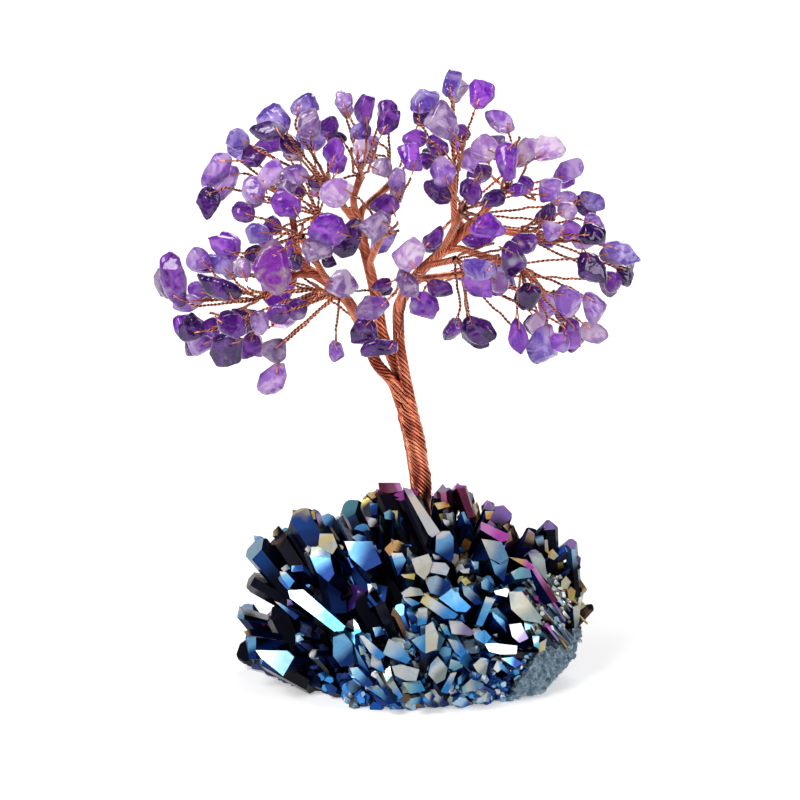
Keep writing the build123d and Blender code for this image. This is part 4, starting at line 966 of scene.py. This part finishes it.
class Crystals:
    """Collects crystals into one faceted mesh, with film colours on each face, set darker or paler
    per face as painted shade and painted highlights.
    """

    def __init__(self):
        self.vertices, self.faces, self.share, self.ends, self.count = [], [], [], [], 0
        self.colors = {"film": [], "high": [], "deep": []}

    def add_face(self, face, films_and_painted_light, end):
        """One letter and level each for the body, the bright end and the far end; the level is
        painted light.
        """
        for colors, film in zip(self.colors.values(), films_and_painted_light):
            colors.append(film_at(*film))
        self.ends.append(end)
        self.faces.append([v + self.count for v in face])

    def add_vertices(self, vertices, shares):
        self.vertices += [v * MM for v in vertices]
        self.share += shares
        self.count += len(vertices)

    def add(self, root, tip, radius, letters, look=view_way, blunt=1.0, shade=0.0):
        vertices, faces = column(root, tip, radius, look, blunt)
        if len(faces) < 4:
            return
        way = unit(tip - root)
        length = np.linalg.norm(tip - root)
        level_look = across(look, way)
        body, bright, far = letters
        for face in faces:
            first, *others = (vertices[v] for v in face)
            fan = zip(others, others[1:])
            normal = unit(sum(np.cross(b - first, c - first) for b, c in fan))
            end = normal @ way > 0.3
            # Painted light: faces that look along look, which is towards the camera for the
            # crystals seen in front, get high levels, painted highlights; faces turned away get
            # low levels, painted shade; shade lowers every level further.
            towards = normal @ (look if end else level_look)
            if towards > (0.45 if end else 0.80):
                level = rng.uniform(3.2, 3.9) if end else rng.uniform(2.6, 3.6)
            elif towards > 0.1:
                level = rng.uniform(1.6, 3.6) if end else rng.uniform(0.1, 1.8)
            else:
                level = rng.uniform(0.5, 2.6)
            level -= shade
            # The far end's colour is 0.4 of a level darker, painted shade towards the root; the
            # bright end's is 0.2 paler, partly the film's own tip colour and partly a painted
            # highlight.
            films_and_painted_light = ((bright if end else body, level), (bright, level + 0.2), (far, level - 0.4))
            self.add_face(face, films_and_painted_light, 1.0 if end else 0.0)
        self.add_vertices(vertices, [float((v - root) @ way / length) for v in vertices])

    def add_facet(self, spots, letters):
        """Facet with its corners at pixels, on a stump that narrows inward."""
        front, outward = flat_on_dome(spots, facet_share)
        middle = sum(front) / len(front)
        inward = core + (middle - core) * 0.80
        back = [inward + (p - middle) * 0.7 for p in front]
        vertices, faces = hull_of(front + back)
        spans = spots - spots[0]
        far = spans[np.argmax(np.linalg.norm(spans, axis=1))]
        for face in faces:
            a, b, c = (vertices[v] for v in face[:3])
            # Painted light: the facet's outward face gets the top levels of its film, a painted
            # highlight; the stump's other faces get dark films at low levels, painted shade.
            painted_bright_side = unit(np.cross(b - a, c - a)) @ outward > 0.9
            level = rng.uniform(3.5, 3.99) if painted_bright_side else rng.uniform(0.0, 1.6)
            films_and_painted_light = [
                (letter if painted_bright_side else "nbk"[int(rng.integers(0, 3))], level - less)
                for letter, less in zip(letters, (0, 0, 0.9))
            ]
            self.add_face(face, films_and_painted_light, 1.0)
        # The share runs from the bright end to the far end, where the far colour, 0.9 of a level
        # darker, is painted shade.
        runs = [(pixel_of(v) - spots[0]) @ far / (far @ far) for v in vertices]
        self.add_vertices(vertices, [float(1.05 - 0.85 * np.clip(run, 0, 1)) for run in runs])

    def build(self, name):
        obj = new_mesh(name, self.vertices, self.faces, smooth=False)
        for label, values in self.colors.items():
            store(obj.data, label, values, "FLOAT_COLOR", "FACE")
        store(obj.data, "share", self.share)
        store(obj.data, "end", self.ends, domain="FACE")
        return obj


def from_trunk(point):
    """How far a point in mm is from the trunk's foot, seen from above."""
    return math.hypot(point[0] - trunk_points[0][0], point[1])


cluster = Crystals()
for letters, numbers in entries(seen_crystals):
    tip_share, root_share = numbers[5:] or usual_shares
    tip = on_dome(*numbers[:2], tip_share / 100)
    root = on_dome(*numbers[2:4], root_share / 100)
    radius = numbers[4] * mm_per_pixel
    cluster.add(root + unit(root - tip) * radius, tip, radius, letters)
for letters, corners in entries(open_facets):
    cluster.add_facet(np.reshape(corners, (-1, 2)), letters)
for letters, (*ends, half) in entries(trunk_crystals):
    cluster.add(place(*ends[3:]), place(*ends[:3]), half * mm_per_pixel, letters)
for turn, rise, radius in back_crystals:
    outward = heading(math.radians(turn), math.radians(rise))
    tip = core + back_tip_share * back_size * outward
    letters = "".join(row[int(rng.integers(0, len(row)))] for row in ("nsgub", "sbcmu", "nkn"))
    root = core + (tip - core) * back_root_share
    root[2] = max(root[2], radius)
    cluster.add(root, tip, radius, letters, unit(outward + rng.normal(0, 0.5, 3)), shade=0.6)
for columns, rows, count, radii, lengths, angles, choices, shares, *drops in small_crystals:
    drop = drops[0] if drops else small_drop
    choices = choices.split()
    for _ in range(count):
        c, r = rng.uniform(*columns), rng.uniform(*rows)
        length, angle = rng.uniform(*lengths), math.radians(rng.uniform(*angles))
        share = rng.uniform(*shares)
        x, z = (c - axis_column) * mm_per_pixel, (ground_row - r) * mm_per_pixel
        if (x / dome_size[0]) ** 2 + (max(z - 6, 0) / dome_size[2]) ** 2 > share ** 2:
            continue
        tip = on_dome(c, r, share)
        root = on_dome(c - length * math.cos(angle), r + length * math.sin(angle), share - drop)
        if tip[2] < 0.6 or from_trunk(tip) < 7:
            continue
        radius = rng.uniform(*radii)
        letters = choices[int(rng.integers(0, len(choices)))]
        cluster.add(root, tip, radius, letters, blunt=1.2, shade=rng.uniform(0.1, 1.9))
# The back and the top are filled with crystals that grow straight out.
for _ in range(fill_count):
    turn = rng.uniform(0, 2 * math.pi)
    outward = heading(turn, math.asin(rng.uniform(0.0, 0.98)))
    reach = rng.uniform(0.66, 0.90) if outward[1] > 0.15 else rng.uniform(0.55, 0.72)
    tip = core + reach * outward * np.array([45, 34 if outward[1] > 0 else 38, 45])
    if from_trunk(tip) < 6.5:
        continue
    radius = rng.uniform(0.8, 2.6)
    root = core + (tip - core) * 0.60 + rng.normal(0, 2.5, 3)
    root[2] = max(root[2], radius)
    tip[2] = max(tip[2], radius * 1.2)
    letters = fill_letters[int(rng.integers(0, len(fill_letters)))]
    look = unit(outward + rng.normal(0, 0.6, 3))
    cluster.add(root, tip, radius, letters, look, 1.2, rng.uniform(0.2, 1.4))
crystals = cluster.build("crystals")
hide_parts("quartz_cluster")
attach(crystals, "tree")


def lump(name, points, faces, voxel, strength, scale):
    """Rough rock made from a closed hull in mm, cut flat at the floor."""
    mesh, co, normals = remeshed(name, np.array(points) * MM, faces, voxel)
    for i, normal in enumerate(normals):
        p = Vector(co[i])
        push = noise.fractal(p * scale, 0.9, 2.1, 5) - 0.35 * abs(noise.noise(p * scale * 2.7))
        co[i] += normal * strength * push
    co[:, 2] = np.maximum(co[:, 2], 0.05)
    mesh.vertices.foreach_set("co", (co * MM).ravel())
    mesh.update()
    obj = shown(name, mesh)
    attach(obj, "tree")
    return obj


rock_wide, rock_deep, rock_high = 34, 27, 33
dome = []
for rise in (0, 22, 45, 68):
    for turn in range(0, 360, 24):
        flat = math.cos(math.radians(rise))
        reach = rng.uniform(0.92, 1.06)
        x = rock_wide * flat * reach * math.cos(math.radians(turn + rise))
        y = rock_deep * flat * reach * math.sin(math.radians(turn + rise))
        dome.append((x, y, rock_high * math.sin(math.radians(rise)) * reach + 0.2))
# Foot of the rock where it meets the floor in front: pixel column and row.
foot_pixels = [
    (243, 672), (262, 679), (290, 688), (330, 692), (375, 693), (396, 702), (430, 702), (500, 699),
]
for c, r in foot_pixels:
    foot = place(c, r, (ground_row - r) * mm_per_pixel / sin_rise)
    dome += [tuple(foot + np.array([0, 0, 0.2])), tuple(foot * 0.97 + np.array([0, 0, 3.5]))]
bed = lump("matrix_rock", *hull_of(dome), 0.8, 1.2, 0.22)

# Broken face of the matrix at the lower right: pixel column and row, and depth.
face_pixels = [
    (506, 700, -28), (543, 693, -24), (576, 660, -11), (585, 632, -2),
    (566, 627, -6), (546, 640, -14), (533, 662, -21), (519, 679, -26),
]
chunk = [place(*p) for p in face_pixels]
chunk += [p * np.array([0.76, 0.35, 0.8]) for p in chunk]
face_rock = lump("matrix_face", *hull_of(chunk), 0.4, 0.6, 0.9)


# Materials

class Nodes:
    """Short hand for a tree of nodes and the shader at its end."""

    def __init__(self, tree, shader):
        self.tree, self.shader = tree, shader

    def feed(self, socket, value):
        """Links a socket to another, or gives it a value."""
        if isinstance(value, bpy.types.NodeSocket):
            self.tree.links.new(value, socket)
        else:
            socket.default_value = value

    def set(self, **values):
        """Feeds the shader's inputs."""
        for name, value in values.items():
            self.feed(self.shader.inputs[name.replace("_", " ")], value)

    def node(self, kind, settings=None, **inputs):
        """Node with its inputs fed by name, or by number as i0 and so on."""
        node = self.tree.nodes.new(kind)
        for key, value in (settings or {}).items():
            setattr(node, key, value)
        for key, value in inputs.items():
            by_number = key[0] == "i" and key[1:].isdigit()
            self.feed(node.inputs[int(key[1:]) if by_number else key.replace("_", " ")], value)
        return node

    def place_at(self):
        return self.node("ShaderNodeTexCoord").outputs["Object"]

    def attribute(self, name, output="Color"):
        return self.node("ShaderNodeAttribute", {"attribute_name": name}).outputs[output]

    def math(self, operation, a, b=0.0):
        return self.node("ShaderNodeMath", {"operation": operation}, i0=a, i1=b).outputs[0]

    def times(self, a, b):
        return self.math("MULTIPLY", a, b)

    def noise(self, vector, scale, detail=3.0, roughness=0.5, distortion=0.0):
        return self.node(
            "ShaderNodeTexNoise", None, Vector=vector, Scale=scale, Detail=detail,
            Roughness=roughness, Distortion=distortion,
        ).outputs["Fac"]

    def ramp(self, value, low, high):
        """Smooth step from 0 at low to 1 at high."""
        smooth = {"interpolation_type": "SMOOTHSTEP"}
        ramp = self.node("ShaderNodeMapRange", smooth, Value=value, From_Min=low, From_Max=high)
        return ramp.outputs["Result"]

    def spread(self, value, low, high):
        """Value from 0 to 1 spread over a range."""
        spread = self.node("ShaderNodeMapRange", None, Value=value, To_Min=low, To_Max=high)
        return spread.outputs["Result"]

    def mix(self, share, a, b, blend="MIX"):
        settings = {"data_type": "RGBA", "blend_type": blend}
        return self.node("ShaderNodeMix", settings, i0=share, i6=a, i7=b).outputs[2]

    def bump(self, height, strength, distance):
        sizes = {"Strength": strength, "Distance": distance}
        self.set(Normal=self.node("ShaderNodeBump", None, Height=height, **sizes).outputs[0])


def new_material(name):
    material = bpy.data.materials.new(name)
    material.use_nodes = True
    tree = material.node_tree
    tree.nodes.clear()
    output = tree.nodes.new("ShaderNodeOutputMaterial")
    shader = tree.nodes.new("ShaderNodeBsdfPrincipled")
    tree.links.new(shader.outputs[0], output.inputs[0])
    return material, Nodes(tree, shader)


def amethyst_material():
    material, m = new_material("amethyst")
    local = m.attribute("local", "Vector")
    clouds = m.ramp(m.noise(local, 0.24, 4.0, 0.6, 0.8), 0.42, 0.62)
    color = m.mix(clouds, m.attribute("dark"), m.attribute("pale"))
    zone = m.ramp(m.noise(local, 0.15, 2.0, 0.5), 0.62, 0.76)
    color = m.mix(m.times(zone, 0.6), color, (0.84, 0.76, 0.94, 1))
    veins = m.math("ABSOLUTE", m.math("SUBTRACT", m.noise(local, 0.16, 2.0, 0.5, 1.6), 0.5))
    color = m.mix(m.times(m.ramp(veins, 0.030, 0.002), 0.08), color, (0.80, 0.72, 0.90, 1))
    specks = m.ramp(m.noise(local, 1.1, 2.0, 0.6), 0.70, 0.78)
    color = m.mix(m.times(specks, 0.5), color, (0.06, 0.02, 0.12, 1))
    gloss = m.ramp(m.noise(local, 0.7, 2.0, 0.6), 0.3, 0.8)
    m.set(Base_Color=color, Roughness=m.spread(gloss, 0.04, 0.14), IOR=1.45)
    m.set(Transmission_Weight=0.4, Coat_Weight=0.2, Coat_Roughness=0.04)
    m.bump(m.noise(local, 0.5, 2.0, 0.5), 0.12, 0.4 * MM)
    return material


def copper_material():
    material, m = new_material("copper_wire")
    place_at = m.place_at()
    wear = m.noise(place_at, 900.0, 3.0, 0.6)
    broad = m.noise(place_at, 90.0, 2.0, 0.5)
    color = m.mix(m.attribute("tone", "Fac"), (0.40, 0.08, 0.045, 1), (0.98, 0.36, 0.20, 1))
    color = m.mix(m.ramp(broad, 0.45, 0.70), color, (0.30, 0.055, 0.035, 1))
    color = m.mix(m.ramp(wear, 0.60, 0.85), color, (1.0, 0.62, 0.42, 1))
    # Painted shade: near black on the sides of the wires that face in, between the strands, and on
    # the core wire.
    painted_crease_shade = m.ramp(m.attribute("painted_crease_shade", "Fac"), 0.16, 0.46)
    color = m.mix(painted_crease_shade, color, (0.05, 0.008, 0.006, 1))
    m.set(Base_Color=color, Roughness=m.spread(broad, 0.2, 0.38), Metallic=1.0)
    m.bump(wear, 0.12, 0.05 * MM)
    return material


def quartz_material():
    material, m = new_material("aura_quartz")
    place_at = m.place_at()
    share = m.attribute("share", "Fac")
    drift = m.noise(place_at, 120.0, 3.0, 0.5)
    # Painted light: towards the roots and the far ends of facets the colour turns to the darker
    # far colour, painted shade; towards the tips it turns to the high colour, partly the film's
    # own tip colour and partly a painted highlight.
    fade = m.math("ADD", share, m.times(m.math("SUBTRACT", drift, 0.5), 0.35))
    color = m.mix(m.ramp(fade, 0.78, 0.42), m.attribute("film"), m.attribute("deep"))
    color = m.mix(m.ramp(fade, 0.80, 0.95), color, m.attribute("high"))
    cobalt = m.mix(1.0, color, (0.26, 0.64, 0.96, 1), "MULTIPLY")
    blotch = m.noise(place_at, 380.0, 3.0, 0.6, 0.8)
    color = m.mix(m.times(m.ramp(blotch, 0.50, 0.70), 0.35), color, cobalt)
    gold = m.mix(1.0, color, (1.0, 0.80, 0.42, 1), "MULTIPLY")
    color = m.mix(m.times(m.ramp(drift, 0.56, 0.72), 0.25), color, gold)
    m.set(Base_Color=color, Roughness=m.spread(blotch, 0.10, 0.34))
    m.set(Metallic=0.50, Specular_IOR_Level=0.20)
    growth = m.node("ShaderNodeCombineXYZ", None, X=share).outputs[0]
    sides = m.math("SUBTRACT", 1.0, m.attribute("end", "Fac"))
    lines = m.times(m.noise(growth, 26.0, 4.0, 0.7), sides)
    m.bump(m.math("ADD", m.times(lines, 0.3), m.times(blotch, 0.5)), 0.25, 0.25 * MM)
    return material


def rock_material(name, low, high, scale):
    material, m = new_material(name)
    place_at = m.place_at()
    grain = m.noise(place_at, scale, 5.0, 0.65)
    fine = m.noise(place_at, scale * 6, 3.0, 0.6)
    color = m.mix(m.ramp(grain, 0.35, 0.68), low, high)
    color = m.mix(m.times(m.ramp(fine, 0.62, 0.78), 0.6), color, (0.62, 0.64, 0.78, 1))
    m.set(Base_Color=color, Roughness=m.spread(fine, 0.35, 0.75), Metallic=0.1)
    m.bump(m.math("ADD", grain, m.times(fine, 0.4)), 0.9, 1.2 * MM)
    return material


def resin_material():
    material, m = new_material("epoxy")
    cloud = m.noise(m.place_at(), 300.0, 3.0, 0.5)
    color = m.mix(m.ramp(cloud, 0.3, 0.7), (0.42, 0.38, 0.34, 1), (0.62, 0.58, 0.50, 1))
    m.set(Base_Color=color, Roughness=0.15, IOR=1.5, Transmission_Weight=0.4)
    m.bump(cloud, 0.3, 0.5 * MM)
    return material


def dress(objects, material):
    for obj in objects:
        obj.data.materials.clear()
        obj.data.materials.append(material)


dress(stone_objects, amethyst_material())
copper_objects = [o for o in bpy.data.objects if o.name.endswith(("_copper", "_eyes"))]
dress(copper_objects, copper_material())
dress([crystals], quartz_material())
dark_blues = (0.006, 0.008, 0.03, 1), (0.03, 0.06, 0.24, 1)
grey_blues = (0.12, 0.22, 0.31, 1), (0.52, 0.68, 0.80, 1)
dress([bed], rock_material("dark_matrix", *dark_blues, 300.0))
dress([face_rock], rock_material("grey_matrix", *grey_blues, 700.0))
for holder in frame["nodes"]["epoxy_plug"].material_slots:
    holder.material = resin_material()


# Stage

def floor_material():
    """Plain floor that glows for the camera and in reflections, more so far away."""
    material, m = new_material("floor")
    place_at = m.place_at()
    grain = m.noise(place_at, 4.0, 2.0, 0.5)
    rays = m.node("ShaderNodeLightPath").outputs
    seen = m.math("MAXIMUM", rays["Is Camera Ray"], rays["Is Glossy Ray"])
    seen = m.math("MAXIMUM", seen, rays["Is Transmission Ray"])
    away = m.node("ShaderNodeVectorMath", {"operation": "LENGTH"}, i0=place_at).outputs["Value"]
    glow = m.math("ADD", m.times(m.ramp(away, 0.3, 2.2), 0.53), 0.42)
    m.set(Base_Color=m.mix(grain, (0.93, 0.93, 0.93, 1), (0.95, 0.95, 0.95, 1)), Roughness=0.8)
    m.set(Emission_Strength=m.times(seen, glow), Emission_Color=(1, 1, 1, 1))
    return material


edge = 6
corners = [(-edge, -edge, 0), (edge, -edge, 0), (edge, edge, 0), (-edge, edge, 0)]
floor = new_mesh("floor", corners, [(0, 1, 2, 3)], smooth=False)
dress([floor], floor_material())

world = bpy.data.worlds.new("studio")
bpy.context.scene.world = world
world.use_nodes = True
sky = Nodes(world.node_tree, world.node_tree.nodes["Background"])
direction = sky.node("ShaderNodeTexCoord").outputs["Generated"]
axes = sky.node("ShaderNodeSeparateXYZ", i0=direction).outputs
overhead = sky.node(
    "ShaderNodeMapRange", {"interpolation_type": "SMOOTHSTEP"},
    Value=axes["Z"], From_Min=-0.1, From_Max=0.9, To_Min=0.80, To_Max=2.0,
)
behind = sky.node(
    "ShaderNodeMapRange", None,
    Value=axes["Y"], From_Min=-0.4, From_Max=0.8, To_Min=0.0, To_Max=1.1,
)
level = sky.math("ADD", overhead.outputs[0], behind.outputs[0])
seen = sky.node("ShaderNodeLightPath").outputs["Is Camera Ray"]
sky.set(Strength=sky.node("ShaderNodeMix", None, i0=seen, i2=level, i3=1.0).outputs[0])


def softbox(name, spot, aim, size, power):
    data = bpy.data.lights.new(name, "AREA")
    data.shape = "RECTANGLE"
    data.size, data.size_y = size
    data.energy = power
    lamp = shown(name, data)
    lamp.location = spot
    lamp.rotation_euler = (Vector(aim) - Vector(spot)).to_track_quat("-Z", "Y").to_euler()


softbox("key", (-0.55, -0.55, 0.85), (0, 0, 0.08), (0.45, 0.6), 9.0)
softbox("fill", (0.75, -0.45, 0.45), (0, 0, 0.08), (0.4, 0.6), 3.6)
softbox("rim", (0.2, 0.8, 0.6), (0, 0, 0.09), (0.6, 0.4), 4.0)

target = Vector((-0.00286, 0, 0.0735))
camera_reach = 1.3
half_view = 0.104
camera_data = bpy.data.cameras.new("camera")
camera_data.angle = 2 * math.atan(half_view / camera_reach)
camera_data.clip_start = 0.01
camera = shown("camera", camera_data)
camera.location = target + Vector(view_way) * camera_reach
camera.rotation_euler = (target - camera.location).to_track_quat("-Z", "Y").to_euler()
bpy.context.scene.camera = camera
bpy.context.scene.view_settings.view_transform = "Standard"
